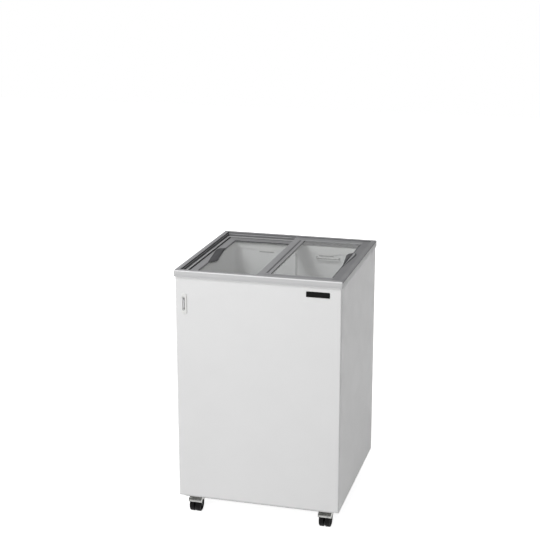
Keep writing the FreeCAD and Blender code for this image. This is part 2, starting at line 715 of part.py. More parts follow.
def sensor_tube():
    """Guard tube of the temperature sensor, standing off the rear wall."""
    z = RIM_TOP - SENSOR_DROP
    x0, x1 = SENSOR_OFFSET - SENSOR_LENGTH / 2, SENSOR_OFFSET + SENSOR_LENGTH / 2
    out = LINER_Y - SENSOR_STANDOFF
    points = [V(x0, LINER_Y, z), V(x0, out, z), V(x1, out, z), V(x1, LINER_Y, z)]
    return bent_tube(points, SENSOR_BEND, SENSOR_DIAMETER)


def evaporator_coil():
    """One tube wound round the upper tub: level on three walls, climbing along the rear wall."""
    points = [V(-COIL_START, COIL_Y, COIL_BOTTOM)]
    for turn in range(COIL_TURNS):
        z = COIL_BOTTOM + COIL_PITCH * turn
        points += [V(-COIL_X, COIL_Y, z), V(-COIL_X, -COIL_Y, z), V(COIL_X, -COIL_Y, z), V(COIL_X, COIL_Y, z)]
    points.append(V(COIL_END, COIL_Y, COIL_TOP))
    return bent_tube(points, COIL_BEND, COIL_DIAMETER)


def insulation_foam():
    """Foam between cabinet and tub, with room for the coil, its pipes and the machine bay."""
    half = HALF_WIDTH - PANEL_SHEET
    body = rounded_block(-half, half, FRONT + PANEL_SHEET, BACK_INSIDE, FOAM_BOTTOM, COLLAR_BOTTOM,
                         PANEL_FOLD_RADIUS)
    bay = block(-half - CUT_OVER, half + CUT_OVER, BAY_FRONT - PANEL_SHEET, REAR,
                FOAM_BOTTOM - CUT_OVER, BAY_TOP + PANEL_SHEET)
    room = LINER_SHEET + COIL_DIAMETER + 2 * COIL_FIT
    gap_bottom = COIL_BOTTOM - COIL_DIAMETER
    gap = rounded_block(-LINER_X - room, LINER_X + room, -LINER_Y - room, LINER_Y + room,
                        gap_bottom, COLLAR_BOTTOM + CUT_OVER, LINER_CORNER + room)
    reach = COIL_DIAMETER / 2 + PIPE_ROOM
    capillary_duct = block(LINE_X - reach, LINE_X + reach, COIL_Y - reach, COIL_Y + reach,
                           BAY_TOP, gap_bottom + CUT_OVER)
    suction_duct = block(SUCTION_X - reach, COIL_END, COIL_Y, SUCTION_Y + reach, BAY_TOP, COIL_TOP + reach)
    return body.cut([bay, tub_space(LINER_SHEET, LINER_SHEET, COLLAR_BOTTOM + CUT_OVER), gap,
                     capillary_duct, suction_duct])


def machine_bay_partition():
    """Bent sheet over and in front of the machine bay, pierced for the pipes."""
    half = HALF_WIDTH - PANEL_SHEET
    roof = block(-half, half, BAY_FRONT - PANEL_SHEET, BACK_INSIDE, BAY_TOP, BAY_TOP + PANEL_SHEET)
    wall = block(-half, half, BAY_FRONT - PANEL_SHEET, BAY_FRONT, FOAM_BOTTOM, BAY_TOP + PANEL_SHEET)
    pipes = ((LINE_X, COIL_Y, CAPILLARY_DIAMETER), (SUCTION_X, SUCTION_Y, SUCTION_DIAMETER))
    holes = [rod(diameter / 2 + PIPE_ROOM, V(x, y, BAY_TOP - CUT_OVER), PANEL_SHEET + 2 * CUT_OVER, AXIS_Z)
             for x, y, diameter in pipes]
    return join([roof, wall]).cut(holes)


def vent_slot(x, z):
    """Round ended slot through the grille."""
    half = (SLOT_LENGTH - SLOT_HEIGHT) / 2
    start, depth = BACK_INSIDE - CUT_OVER, PANEL_SHEET + 2 * CUT_OVER
    ends = [rod(SLOT_HEIGHT / 2, V(x + dx, start, z), depth, AXIS_Y) for dx in (-half, half)]
    middle = block(x - half, x + half, start, start + depth, z - SLOT_HEIGHT / 2, z + SLOT_HEIGHT / 2)
    return join(ends + [middle])


def vent_slots():
    """Bank of slots, in columns and rows about the middle of the bay."""
    left = SLOT_SHIFT - SLOT_COLUMN_PITCH * (SLOT_COLUMNS - 1) / 2
    low = PANEL_BOTTOM + BAY_HEIGHT / 2 - SLOT_ROW_PITCH * (SLOT_ROWS - 1) / 2
    return [vent_slot(left + SLOT_COLUMN_PITCH * column, low + SLOT_ROW_PITCH * row)
            for column in range(SLOT_COLUMNS) for row in range(SLOT_ROWS)]


def rear_grille():
    """Slotted cover of the machine bay, with a recessed pocket for the thermostat knob."""
    half = HALF_WIDTH - PANEL_SHEET - SEAM_GAP
    sheet = block(-half, half, BACK_INSIDE, BACK_SKIN, FOAM_BOTTOM, BAY_TOP - SEAM_GAP)
    x, z, reach = CONTROL_X, POCKET_Z, POCKET_SIZE / 2
    tray = block(x - reach, x + reach, POCKET_FLOOR, BACK_SKIN, z - reach, z + reach)
    inner = reach - PANEL_SHEET
    hollow = block(x - inner, x + inner, POCKET_FLOOR + PANEL_SHEET, BACK_SKIN + CUT_OVER,
                   z - inner, z + inner)
    shaft = rod(SHAFT_DIAMETER / 2 + PIPE_ROOM, V(x, POCKET_FLOOR - CUT_OVER, z), POCKET_DEPTH, AXIS_Y)
    neck = rod(GLAND_NECK_DIAMETER / 2 + GLAND_FIT, V(x, BACK_INSIDE - CUT_OVER, GLAND_Z),
               PANEL_SHEET + 2 * CUT_OVER, AXIS_Y)
    return join([sheet, tray]).cut([hollow, shaft, neck] + vent_slots() + screw_holes())


def thermostat_body():
    """Thermostat behind the pocket floor, bored for the knob shaft."""
    x, z, reach = CONTROL_X, POCKET_Z, THERMOSTAT_SIZE / 2
    case = block(x - reach, x + reach, POCKET_FLOOR - THERMOSTAT_DEPTH, POCKET_FLOOR, z - reach, z + reach)
    bore = rod(SHAFT_DIAMETER / 2 + SHAFT_FIT, V(x, POCKET_FLOOR + CUT_OVER, z),
               SHAFT_LENGTH + 2 * CUT_OVER, -AXIS_Y)
    return case.cut(bore)


def thermostat_knob():
    """Fluted knob with a raised pointer, on a shaft that runs in the thermostat."""
    base = V(CONTROL_X, POCKET_FLOOR + PANEL_SHEET + KNOB_GAP, POCKET_Z)
    radius = KNOB_DIAMETER / 2
    cap = rod(radius, base, KNOB_HEIGHT, AXIS_Y)
    flutes = []
    for index in range(KNOB_FLUTES):
        angle = math.pi * (2 * index + 1) / KNOB_FLUTES
        spot = base + V(math.sin(angle) * radius, -CUT_OVER, math.cos(angle) * radius)
        flutes.append(rod(KNOB_FLUTE_DIAMETER / 2, spot, KNOB_HEIGHT + 2 * CUT_OVER, AXIS_Y))
    face = base.y + KNOB_HEIGHT
    pointer = block(base.x - KNOB_POINTER_WIDTH / 2, base.x + KNOB_POINTER_WIDTH / 2, face - CUT_OVER,
                    face + KNOB_POINTER_RISE, base.z, base.z + radius - KNOB_POINTER_WIDTH / 2)
    shaft = rod(SHAFT_DIAMETER / 2, base, PANEL_SHEET + KNOB_GAP + SHAFT_LENGTH, -AXIS_Y)
    return join([cap.cut(flutes), pointer, shaft])


def cord_gland():
    """Bushing where the mains cord enters, gripping the grille sheet in its neck."""
    x, z = CONTROL_X, GLAND_Z
    flange = rod(GLAND_FLANGE_DIAMETER / 2, V(x, BACK_SKIN, z), GLAND_FLANGE, AXIS_Y)
    neck = rod(GLAND_NECK_DIAMETER / 2, V(x, BACK_INSIDE, z), PANEL_SHEET, AXIS_Y)
    nut = rod(GLAND_FLANGE_DIAMETER / 2, V(x, BACK_INSIDE, z), GLAND_NUT, -AXIS_Y)
    length = GLAND_FLANGE + PANEL_SHEET + GLAND_NUT
    bore = rod(GLAND_BORE / 2, V(x, BACK_INSIDE - GLAND_NUT - CUT_OVER, z), length + 2 * CUT_OVER, AXIS_Y)
    return join([flange, neck, nut]).cut(bore)


def can_spot(offset, lift):
    """Point on the left side of the compressor can, set off in y and lifted from its foot."""
    reach = math.sqrt((CAN_DIAMETER / 2) ** 2 - offset ** 2)
    return V(COMPRESSOR_X - reach, COMPRESSOR_Y + offset, CAN_BOTTOM + lift)


def stub_end(offset, lift):
    """Free end of a pipe stub on the compressor can."""
    return can_spot(offset, lift) - AXIS_X * STUB_LENGTH


def compressor():
    """Hermetic compressor: domed can with its weld belt, two feet and two pipe stubs."""
    radius = CAN_DIAMETER / 2
    can = rod(radius, V(COMPRESSOR_X, COMPRESSOR_Y, CAN_BOTTOM), CAN_HEIGHT, AXIS_Z)
    top = [edge for edge in can.Edges if edge.BoundBox.ZMin > CAN_BOTTOM + CAN_HEIGHT - TOUCH]
    can = can.makeFillet(CAN_DOME_RADIUS, top)
    foot = [edge for edge in can.Edges if edge.BoundBox.ZMax < CAN_BOTTOM + TOUCH]
    can = can.makeFillet(CAN_FLOOR_RADIUS, foot)
    belt = rod(radius + CAN_BELT_RISE, V(COMPRESSOR_X, COMPRESSOR_Y, CAN_BOTTOM + CAN_BELT_LIFT),
               CAN_BELT_HEIGHT, AXIS_Z)
    pieces = [can, belt]
    for side in (-1, 1):
        y = COMPRESSOR_Y + side * FOOT_SPACING / 2
        pieces.append(block(COMPRESSOR_X - FOOT_LENGTH / 2, COMPRESSOR_X + FOOT_LENGTH / 2,
                            y - FOOT_WIDTH / 2, y + FOOT_WIDTH / 2, FOOT_BOTTOM, CAN_BOTTOM))
    for offset, lift, diameter in ((0.0, DISCHARGE_LIFT, DISCHARGE_DIAMETER),
                                   (SUCTION_OFFSET, SUCTION_LIFT, SUCTION_DIAMETER)):
        end = stub_end(offset, lift)
        pieces.append(rod(diameter / 2, end, STUB_LENGTH + CAN_BELT_RISE, AXIS_X))
    holes = [rod(GROMMET_NECK_DIAMETER / 2 + GROMMET_FIT, V(x, y, FOOT_BOTTOM - CUT_OVER),
                 FOOT_SHEET + 2 * CUT_OVER, AXIS_Z) for x, y in foot_bolt_spots()]
    return join(pieces).cut(holes)


def compressor_grommets():
    """Rubber grommets that carry the compressor feet."""
    grommets = []
    for x, y in foot_bolt_spots():
        lower = rod(GROMMET_DIAMETER / 2, V(x, y, PANEL_BOTTOM), GROMMET_HEIGHT, AXIS_Z)
        neck = rod(GROMMET_NECK_DIAMETER / 2, V(x, y, FOOT_BOTTOM), FOOT_SHEET, AXIS_Z)
        collar = rod(GROMMET_DIAMETER / 2, V(x, y, CAN_BOTTOM), GROMMET_COLLAR, AXIS_Z)
        length = GROMMET_HEIGHT + FOOT_SHEET + GROMMET_COLLAR
        bore = rod(BOLT_DIAMETER / 2 + BOLT_HOLE_FIT, V(x, y, PANEL_BOTTOM - CUT_OVER),
                   length + 2 * CUT_OVER, AXIS_Z)
        grommets.append(join([lower, neck, collar]).cut(bore))
    return Part.makeCompound(grommets)


def hex_bolt(x, y, seat, end):
    """Hex bolt with its head on a seat and its shank reaching to an end level."""
    upwards = 1 if end > seat else -1
    axis = AXIS_Z * upwards
    radius = BOLT_HEAD_DIAMETER / 2
    turns = [2 * math.pi * side / BOLT_HEAD_SIDES for side in range(BOLT_HEAD_SIDES)]
    corners = [V(x + radius * math.cos(turn), y + radius * math.sin(turn), seat) for turn in turns]
    head = polygon(corners, axis * -BOLT_HEAD_HEIGHT)
    shank = rod(BOLT_DIAMETER / 2, V(x, y, seat), abs(end - seat), axis)
    return join([head, shank])


def mounting_bolts():
    """Bolts of the castor plates, from below, and of the compressor feet, from above."""
    plate_face = CASTOR_HEIGHT - PLATE_THICKNESS
    bolts = [hex_bolt(x, y, plate_face, PANEL_BOTTOM) for x, y in castor_bolt_spots()]
    bolts += [hex_bolt(x, y, CAN_BOTTOM + GROMMET_COLLAR, CASTOR_HEIGHT) for x, y in foot_bolt_spots()]
    return Part.makeCompound(bolts)


def relay_box():
    """Starter and terminal cover on the front of the can."""
    face = COMPRESSOR_Y - CAN_DIAMETER / 2
    z = CAN_BOTTOM + CAN_BELT_LIFT + CAN_BELT_HEIGHT + RELAY_FIT
    case = block(COMPRESSOR_X - RELAY_WIDTH / 2, COMPRESSOR_X + RELAY_WIDTH / 2,
                 face - RELAY_DEPTH / 2, face + RELAY_DEPTH / 2, z, z + RELAY_HEIGHT)
    can = rod(CAN_DIAMETER / 2 + RELAY_FIT, V(COMPRESSOR_X, COMPRESSOR_Y, z - CUT_OVER),
              RELAY_HEIGHT + 2 * CUT_OVER, AXIS_Z)
    return case.cut(can)


def condenser_points():
    """Serpentine from the drier at the bottom to the discharge pipe at the top."""
    ends = (CONDENSER_X0, CONDENSER_X1)
    points = [V(LINE_X, DRIER_END, CONDENSER_BOTTOM), V(LINE_X, CONDENSER_Y, CONDENSER_BOTTOM)]
    for index in range(CONDENSER_PASSES):
        z = CONDENSER_BOTTOM + CONDENSER_PITCH * index
        if index > 0:
            points.append(V(ends[(index + 1) % 2], CONDENSER_Y, z))
        if index < CONDENSER_PASSES - 1:
            points.append(V(ends[index % 2], CONDENSER_Y, z))
    points.append(V(LINE_X, CONDENSER_Y, CONDENSER_TOP))
    return points


def condenser_coil():
    """Bent condenser tube."""
    return bent_tube(condenser_points(), CONDENSER_BEND, CONDENSER_DIAMETER)


def condenser_brackets():
    """Two upright plates on the base pan that carry the condenser passes."""
    plates = []
    for x, toe in ((CONDENSER_X0 + BRACKET_INSET, 1), (CONDENSER_X1 - BRACKET_INSET, -1)):
        y0, y1 = CONDENSER_Y - BRACKET_WIDTH / 2, CONDENSER_Y + BRACKET_WIDTH / 2
        plate = block(x, x + toe * BRACKET_SHEET, y0, y1, PANEL_BOTTOM, CONDENSER_TOP + BRACKET_MARGIN)
        foot = block(x, x + toe * BRACKET_FOOT, y0, y1, PANEL_BOTTOM, PANEL_BOTTOM + BRACKET_SHEET)
        start = min(x, x + toe * BRACKET_SHEET) - CUT_OVER
        holes = [rod(CONDENSER_DIAMETER / 2 + BRACKET_FIT,
                     V(start, CONDENSER_Y, CONDENSER_BOTTOM + CONDENSER_PITCH * index),
                     BRACKET_SHEET + 2 * CUT_OVER, AXIS_X) for index in range(CONDENSER_PASSES)]
        plates.append(join([plate, foot]).cut(holes))
    return Part.makeCompound(plates)


def filter_drier():
    """Copper drier, tapered at both ends, between condenser and capillary."""
    taper = DRIER_DIAMETER / 2
    middle = DRIER_LENGTH - 2 * DRIER_TAPER
    start = V(LINE_X, DRIER_START, CONDENSER_BOTTOM)
    first = Part.makeCone(CONDENSER_DIAMETER / 2, taper, DRIER_TAPER, start, AXIS_Y)
    body = rod(taper, start + AXIS_Y * DRIER_TAPER, middle, AXIS_Y)
    neck = start + AXIS_Y * (DRIER_TAPER + middle)
    last = Part.makeCone(taper, CONDENSER_DIAMETER / 2, DRIER_TAPER, neck, AXIS_Y)
    return join([first, body, last])


def discharge_pipe():
    """Pipe from the compressor to the top of the condenser."""
    start = stub_end(0.0, DISCHARGE_LIFT)
    points = [start, V(DISCHARGE_X, start.y, start.z), V(DISCHARGE_X, CONDENSER_Y, start.z),
              V(DISCHARGE_X, CONDENSER_Y, CONDENSER_TOP), V(LINE_X, CONDENSER_Y, CONDENSER_TOP)]
    return bent_tube(points, PIPE_BEND, DISCHARGE_DIAMETER)


def capillary_tube():
    """Fine tube from the drier up through the partition to the start of the evaporator."""
    z = CONDENSER_BOTTOM
    low_y = DRIER_START - CAPILLARY_LEAD
    high = z + CAPILLARY_RISE
    points = [V(LINE_X, DRIER_START, z), V(LINE_X, low_y, z), V(LINE_X, low_y, high), V(LINE_X, COIL_Y, high),
              V(LINE_X, COIL_Y, COIL_BOTTOM), V(-COIL_START, COIL_Y, COIL_BOTTOM)]
    return bent_tube(points, CAPILLARY_BEND, CAPILLARY_DIAMETER)


def suction_pipe():
    """Return pipe from the end of the evaporator down to the compressor."""
    end = stub_end(SUCTION_OFFSET, SUCTION_LIFT)
    points = [V(COIL_END, COIL_Y, COIL_TOP), V(SUCTION_X, COIL_Y, COIL_TOP),
              V(SUCTION_X, SUCTION_Y, COIL_TOP), V(SUCTION_X, SUCTION_Y, end.z),
              V(SUCTION_X, end.y, end.z), end]
    return bent_tube(points, SUCTION_BEND, SUCTION_DIAMETER)


def badge_plate():
    """Bare plate with rounded corners on the front panel."""
    z = RIM_TOP - BADGE_DROP
    plate = block(BADGE_X - BADGE_WIDTH / 2, BADGE_X + BADGE_WIDTH / 2, FRONT - BADGE_THICKNESS, FRONT,
                  z - BADGE_HEIGHT / 2, z + BADGE_HEIGHT / 2)
    corners = [edge for edge in plate.Edges if edge.BoundBox.YLength > BADGE_THICKNESS / 2]
    return plate.makeFillet(BADGE_RADIUS, corners)


def gauge_slab(width, height, thickness, shift, face):
    """Round cornered upright slab on the front panel."""
    z = RIM_TOP - GAUGE_DROP
    x = GAUGE_X + shift
    slab = block(x - width / 2, x + width / 2, face - thickness, face, z - height / 2, z + height / 2)
    corners = [edge for edge in slab.Edges if edge.BoundBox.YLength > thickness / 2]
    return slab.makeFillet(min(GAUGE_RADIUS, width / 2 - WINDOW_FIT), corners)


def thermometer_bezel():
    """Upright bezel with bevelled sides and a slot for the window."""
    bezel = gauge_slab(GAUGE_WIDTH, GAUGE_HEIGHT, GAUGE_THICKNESS, 0.0, FRONT)
    rim = [edge for edge in bezel.Edges if edge.BoundBox.YMax < FRONT - GAUGE_THICKNESS + TOUCH]
    bezel = bezel.makeChamfer(GAUGE_BEVEL, rim)
    slot = gauge_slab(WINDOW_WIDTH + 2 * WINDOW_FIT, WINDOW_HEIGHT + 2 * WINDOW_FIT,
                      GAUGE_THICKNESS + 2 * CUT_OVER, WINDOW_SHIFT, FRONT + CUT_OVER)
    return bezel.cut(slot)


def thermometer_window():
    """Dark window set deep in the bezel."""
    return gauge_slab(WINDOW_WIDTH, WINDOW_HEIGHT, WINDOW_THICKNESS, WINDOW_SHIFT, FRONT)


def castor_plates():
    """Four top plates, each with its ball race and kingpin."""
    top, bottom = CASTOR_HEIGHT, CASTOR_HEIGHT - PLATE_THICKNESS
    holes = [rod(BOLT_DIAMETER / 2 + BOLT_HOLE_FIT, V(x, y, bottom - CUT_OVER),
                 PLATE_THICKNESS + 2 * CUT_OVER, AXIS_Z) for x, y in castor_bolt_spots()]
    plates = []
    for x, y in CASTORS.values():
        half = PLATE_SIZE / 2
        plate = rounded_block(x - half, x + half, y - half, y + half, bottom, top, PLATE_RADIUS)
        race = rod(RACE_DIAMETER / 2, V(x, y, RACE_BOTTOM), RACE_HEIGHT, AXIS_Z)
        head_top = HOOD_PLATE_BOTTOM - RUNNING_GAP
        pin = rod(KINGPIN_DIAMETER / 2, V(x, y, head_top), bottom - head_top, AXIS_Z)
        head = rod(KINGPIN_HEAD_DIAMETER / 2, V(x, y, head_top - KINGPIN_HEAD), KINGPIN_HEAD, AXIS_Z)
        plates.append(join([plate, race, pin, head]).cut(holes))
    return Part.makeCompound(plates)


def wheel_centre(x, y):
    """Centre of a castor's wheels, set ahead of the kingpin by the trail."""
    return V(x, y - CASTOR_TRAIL, WHEEL_DIAMETER / 2)


def arc_band(centre, inner, outer, half_width, start, stop):
    """Band of a hollow cylinder about a wheel axle, between two angles from the front."""
    def spot(radius, angle):
        turn = math.radians(angle)
        return centre + V(-half_width, -radius * math.cos(turn), radius * math.sin(turn))
    middle = (start + stop) / 2
    outline = Part.Wire([
        Part.Arc(spot(outer, start), spot(outer, middle), spot(outer, stop)).toShape(),
        Part.LineSegment(spot(outer, stop), spot(inner, stop)).toShape(),
        Part.Arc(spot(inner, stop), spot(inner, middle), spot(inner, start)).toShape(),
        Part.LineSegment(spot(inner, start), spot(outer, start)).toShape(),
    ])
    return Part.Face(outline).extrude(AXIS_X * (2 * half_width))


def castor_hood(x, y):
    """Swivelling hood: top plate, web between the wheels, curved cover and side cheeks."""
    centre = wheel_centre(x, y)
    inner = WHEEL_DIAMETER / 2 + HOOD_GAP
    outer = inner + HOOD_SHEET
    cover = arc_band(centre, inner, outer, HOOD_WIDTH / 2, HOOD_LIP_ANGLE, HOOD_BACK_ANGLE)
    cheeks = arc_band(centre, outer - CHEEK_DEPTH, outer, HOOD_WIDTH / 2, HOOD_LIP_ANGLE, HOOD_BACK_ANGLE)
    room = WHEEL_OUTER_FACE + WHEEL_GAP
    cheeks = cheeks.cut(block(x - room, x + room, y - PLATE_SIZE, y + PLATE_SIZE, 0.0, CASTOR_HEIGHT))
    plate = rod(HOOD_PLATE_DIAMETER / 2, V(x, y, HOOD_PLATE_BOTTOM), HOOD_SHEET, AXIS_Z)
    boss = rod(WEB_BOSS_DIAMETER / 2, centre - AXIS_X * (WEB_THICKNESS / 2), WEB_THICKNESS, AXIS_X)
    half = WEB_THICKNESS / 2
    reach = WEB_BOSS_DIAMETER / 2
    leg = block(x - half, x + half, centre.y - reach, centre.y + reach, centre.z, centre.z + inner)
    neck_back = y - KINGPIN_HEAD_DIAMETER / 2 - RUNNING_GAP - WHEEL_GAP
    neck = block(x - HOOD_NECK_WIDTH / 2, x + HOOD_NECK_WIDTH / 2, y - HOOD_PLATE_DIAMETER / 2 + HOOD_SHEET,
                 neck_back, centre.z + inner, HOOD_PLATE_BOTTOM + HOOD_SHEET / 2)
    wheel_room = rod(inner, centre - AXIS_X * HOOD_WIDTH, 2 * HOOD_WIDTH, AXIS_X)
    pin_hole = rod(KINGPIN_DIAMETER / 2 + KINGPIN_FIT, V(x, y, 0.0), CASTOR_HEIGHT, AXIS_Z)
    axle_hole = rod(AXLE_DIAMETER / 2 + AXLE_FIT, centre - AXIS_X * HOOD_WIDTH, 2 * HOOD_WIDTH, AXIS_X)
    neck = neck.cut(wheel_room)
    return join([cover, cheeks, plate, boss, leg, neck]).cut([pin_hole, axle_hole])


def wheel(centre, side):
    """One black wheel with a rounded tread and a dished outer face."""
    radius, bore = WHEEL_DIAMETER / 2, AXLE_DIAMETER / 2 + AXLE_PRESS_GAP
    start = centre + AXIS_X * (side * WHEEL_INNER_FACE)
    disc = rod(radius, start, WHEEL_WIDTH, AXIS_X * side)
    disc = disc.makeFillet(WHEEL_TREAD_RADIUS, [edge for edge in disc.Edges if edge.BoundBox.XLength < TOUCH])
    face = centre + AXIS_X * (side * (WHEEL_OUTER_FACE - WHEEL_DISH_DEPTH))
    reach = WHEEL_DISH_DEPTH + CUT_OVER
    hub = rod(WHEEL_DISH_INNER, face, reach, AXIS_X * side)
    dish = rod(WHEEL_DISH_OUTER, face, reach, AXIS_X * side).cut(hub)
    hole = rod(bore, start - AXIS_X * (side * CUT_OVER), WHEEL_WIDTH + 2 * CUT_OVER, AXIS_X * side)
    return disc.cut([dish, hole])


def castor_wheels(x, y):
    """Pair of wheels on one axle."""
    centre = wheel_centre(x, y)
    return Part.makeCompound([wheel(centre, side) for side in (-1, 1)])


def castor_axle(x, y):
    """Axle pressed into both wheels, turning in the web of the hood."""
    half = WHEEL_OUTER_FACE - AXLE_END_INSET
    return rod(AXLE_DIAMETER / 2, wheel_centre(x, y) - AXIS_X * half, 2 * half, AXIS_X)


def lid_nodes(name, lid):
    """Pieces of one lid under their node names."""
    return {
        name + "_lid_glass": lid.glass_space(0.0),
        name + "_lid_outer_rail": lid.outer_rail(),
        name + "_lid_inner_rail": lid.inner_rail(),
        name + "_lid_edge_rails": lid.edge_rails(),
        name + "_lid_grip": lid.grip(),
        name + "_lid_glides": lid.glides(),
    }


def castor_nodes():
    """Pieces of the four castors that swivel or turn, under their node names."""
    nodes = {}
    for name, (x, y) in CASTORS.items():
        nodes[name + "_castor_hood"] = castor_hood(x, y)
        nodes[name + "_castor_wheels"] = castor_wheels(x, y)
        nodes[name + "_castor_axle"] = castor_axle(x, y)
    return nodes


def all_nodes():
    """Every piece of the freezer under its node name."""
    nodes = {
        "front_panel": front_panel(),
        "left_side_panel": side_panel(-1),
        "right_side_panel": side_panel(1),
        "rear_panel": rear_panel(),
        "base_pan": base_pan(),
        "inner_liner": inner_liner(),
        "liner_collar": liner_collar(),
        "sensor_tube": sensor_tube(),
        "insulation_foam": insulation_foam(),
        "evaporator_coil": evaporator_coil(),
        "machine_bay_partition": machine_bay_partition(),
        "rear_grille": rear_grille(),
        "panel_screws": panel_screws(),
        "thermostat_body": thermostat_body(),
        "thermostat_knob": thermostat_knob(),
        "cord_gland": cord_gland(),
        "compressor": compressor(),
        "compressor_grommets": compressor_grommets(),
        "mounting_bolts": mounting_bolts(),
        "relay_box": relay_box(),
        "condenser_coil": condenser_coil(),
        "condenser_brackets": condenser_brackets(),
        "filter_drier": filter_drier(),
        "discharge_pipe": discharge_pipe(),
        "capillary_tube": capillary_tube(),
        "suction_pipe": suction_pipe(),
        "badge_plate": badge_plate(),
        "thermometer_bezel": thermometer_bezel(),
        "thermometer_window": thermometer_window(),
        "castor_plates": castor_plates(),
        "left_lid_seal": left_lid().seal(),
    }
    nodes.update(rim_rails())
    nodes.update(lid_nodes("left", left_lid()))
    nodes.update(lid_nodes("right", right_lid()))
    nodes.update(castor_nodes())
    return nodes


os.makedirs("parts", exist_ok=True)
for node, shape in all_nodes().items():
    print(node, len(shape.Solids), "valid" if shape.isValid() else "NOT VALID")
    shape.exportStep("parts/" + node + ".step")
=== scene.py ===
"""Looks of a small chest display freezer with two sliding glass lids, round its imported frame."""
from __future__ import annotations

import logging
from dataclasses import dataclass
from enum import Enum
from math import cos, pi, radians, sin, sqrt
from typing import Sequence, Union

import bmesh
import bpy
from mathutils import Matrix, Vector


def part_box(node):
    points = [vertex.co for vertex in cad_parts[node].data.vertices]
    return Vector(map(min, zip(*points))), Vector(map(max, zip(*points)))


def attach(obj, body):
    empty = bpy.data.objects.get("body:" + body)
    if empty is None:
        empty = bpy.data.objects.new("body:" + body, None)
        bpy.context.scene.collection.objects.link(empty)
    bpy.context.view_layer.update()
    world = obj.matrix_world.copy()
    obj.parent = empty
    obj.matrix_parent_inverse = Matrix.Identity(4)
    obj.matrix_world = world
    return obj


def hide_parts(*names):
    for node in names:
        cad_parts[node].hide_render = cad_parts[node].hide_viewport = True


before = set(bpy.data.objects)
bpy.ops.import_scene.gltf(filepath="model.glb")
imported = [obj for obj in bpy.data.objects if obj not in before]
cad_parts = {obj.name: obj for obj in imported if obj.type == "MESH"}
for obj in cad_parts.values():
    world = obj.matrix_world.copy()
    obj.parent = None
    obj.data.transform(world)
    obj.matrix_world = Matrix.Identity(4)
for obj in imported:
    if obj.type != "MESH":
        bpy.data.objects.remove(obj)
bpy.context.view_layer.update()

LOG = logging.getLogger("freezer")
MM = 0.001
WHITE = (1.0, 1.0, 1.0, 1.0)
# Number of bounces that parts a ray's first hit from all later ones.
FIRST_BOUNCE = 0.5
# Detail of the noise of clouds and smudges, of soft waves and of die lines.
CLOUD_DETAIL, WAVE_DETAIL, LINE_DETAIL = 3.0, 1.0, 2.0
# Span of the noise over which the gloss changes.
SMUDGE_SPAN = (0.3, 0.7)

Tree = bpy.types.NodeTree
Socket = bpy.types.NodeSocket
Mesh = bmesh.types.BMesh
Feed = Union[float, tuple, list, Socket]
Span = tuple[float, float]
Point = tuple[float, float, float]
Profile = tuple[Span, ...]


class Axis(Enum):
    """Direction of a profile's length in the object's frame."""

    X = 0
    Y = 1


class Side(Enum):
    """Side of the freezer that a lid covers, seen from the front."""

    LEFT = "left"
    RIGHT = "right"


class Corner(Enum):
    """Corner of the base that a castor carries."""

    FRONT_LEFT = "front_left"
    FRONT_RIGHT = "front_right"
    REAR_LEFT = "rear_left"
    REAR_RIGHT = "rear_right"


def linear(colour: str) -> tuple[float, float, float, float]:
    """Linear colour of an sRGB hex value.

    Args:
        colour: Hash sign and six hex digits.

    Returns:
        Red, green, blue and an alpha of 1.
    """
    shares = [int(colour[place:place + 2], 16) / 255 for place in (1, 3, 5)]
    red, green, blue = [s / 12.92 if s <= 0.04045 else ((s + 0.055) / 1.055) ** 2.4 for s in shares]
    return red, green, blue, 1.0


def per_metre(size_mm: float) -> float:
    """Texture scale at which one cell of a pattern has a size in millimetres."""
    return 1.0 / (size_mm * MM)


def add_node(tree: Tree, kind: str, inputs: dict[Union[str, int], Feed] | None = None,
             **settings: object) -> bpy.types.Node:
    """Add a shader node with its settings, and set or link its inputs.

    Args:
        tree: Node tree that gets the node.
        kind: Blender's name of the node type, without its common start.
        inputs: Input names or numbers, each with a value or the socket that feeds it.
        settings: Attributes of the node.

    Returns:
        The new node.
    """
    node = tree.nodes.new(f"ShaderNode{kind}")
    for name, value in settings.items():
        setattr(node, name, value)
    for key, value in (inputs or {}).items():
        if isinstance(value, Socket):
            tree.links.new(value, node.inputs[key])
        else:
            node.inputs[key].default_value = value
    return node


def reckon(tree: Tree, operation: str, *feeds: Feed) -> Socket:
    """Result of a math node that works on values or sockets, in order."""
    return add_node(tree, "Math", dict(enumerate(feeds)), operation=operation).outputs[0]


def noise(tree: Tree, place: Socket, scale: float, detail: float) -> Socket:
    """Soft noise of 0 to 1, with its cells to the metre and its number of finer layers."""
    return add_node(tree, "TexNoise", {
        "Vector": place, "Scale": scale, "Detail": detail}).outputs["Fac"]


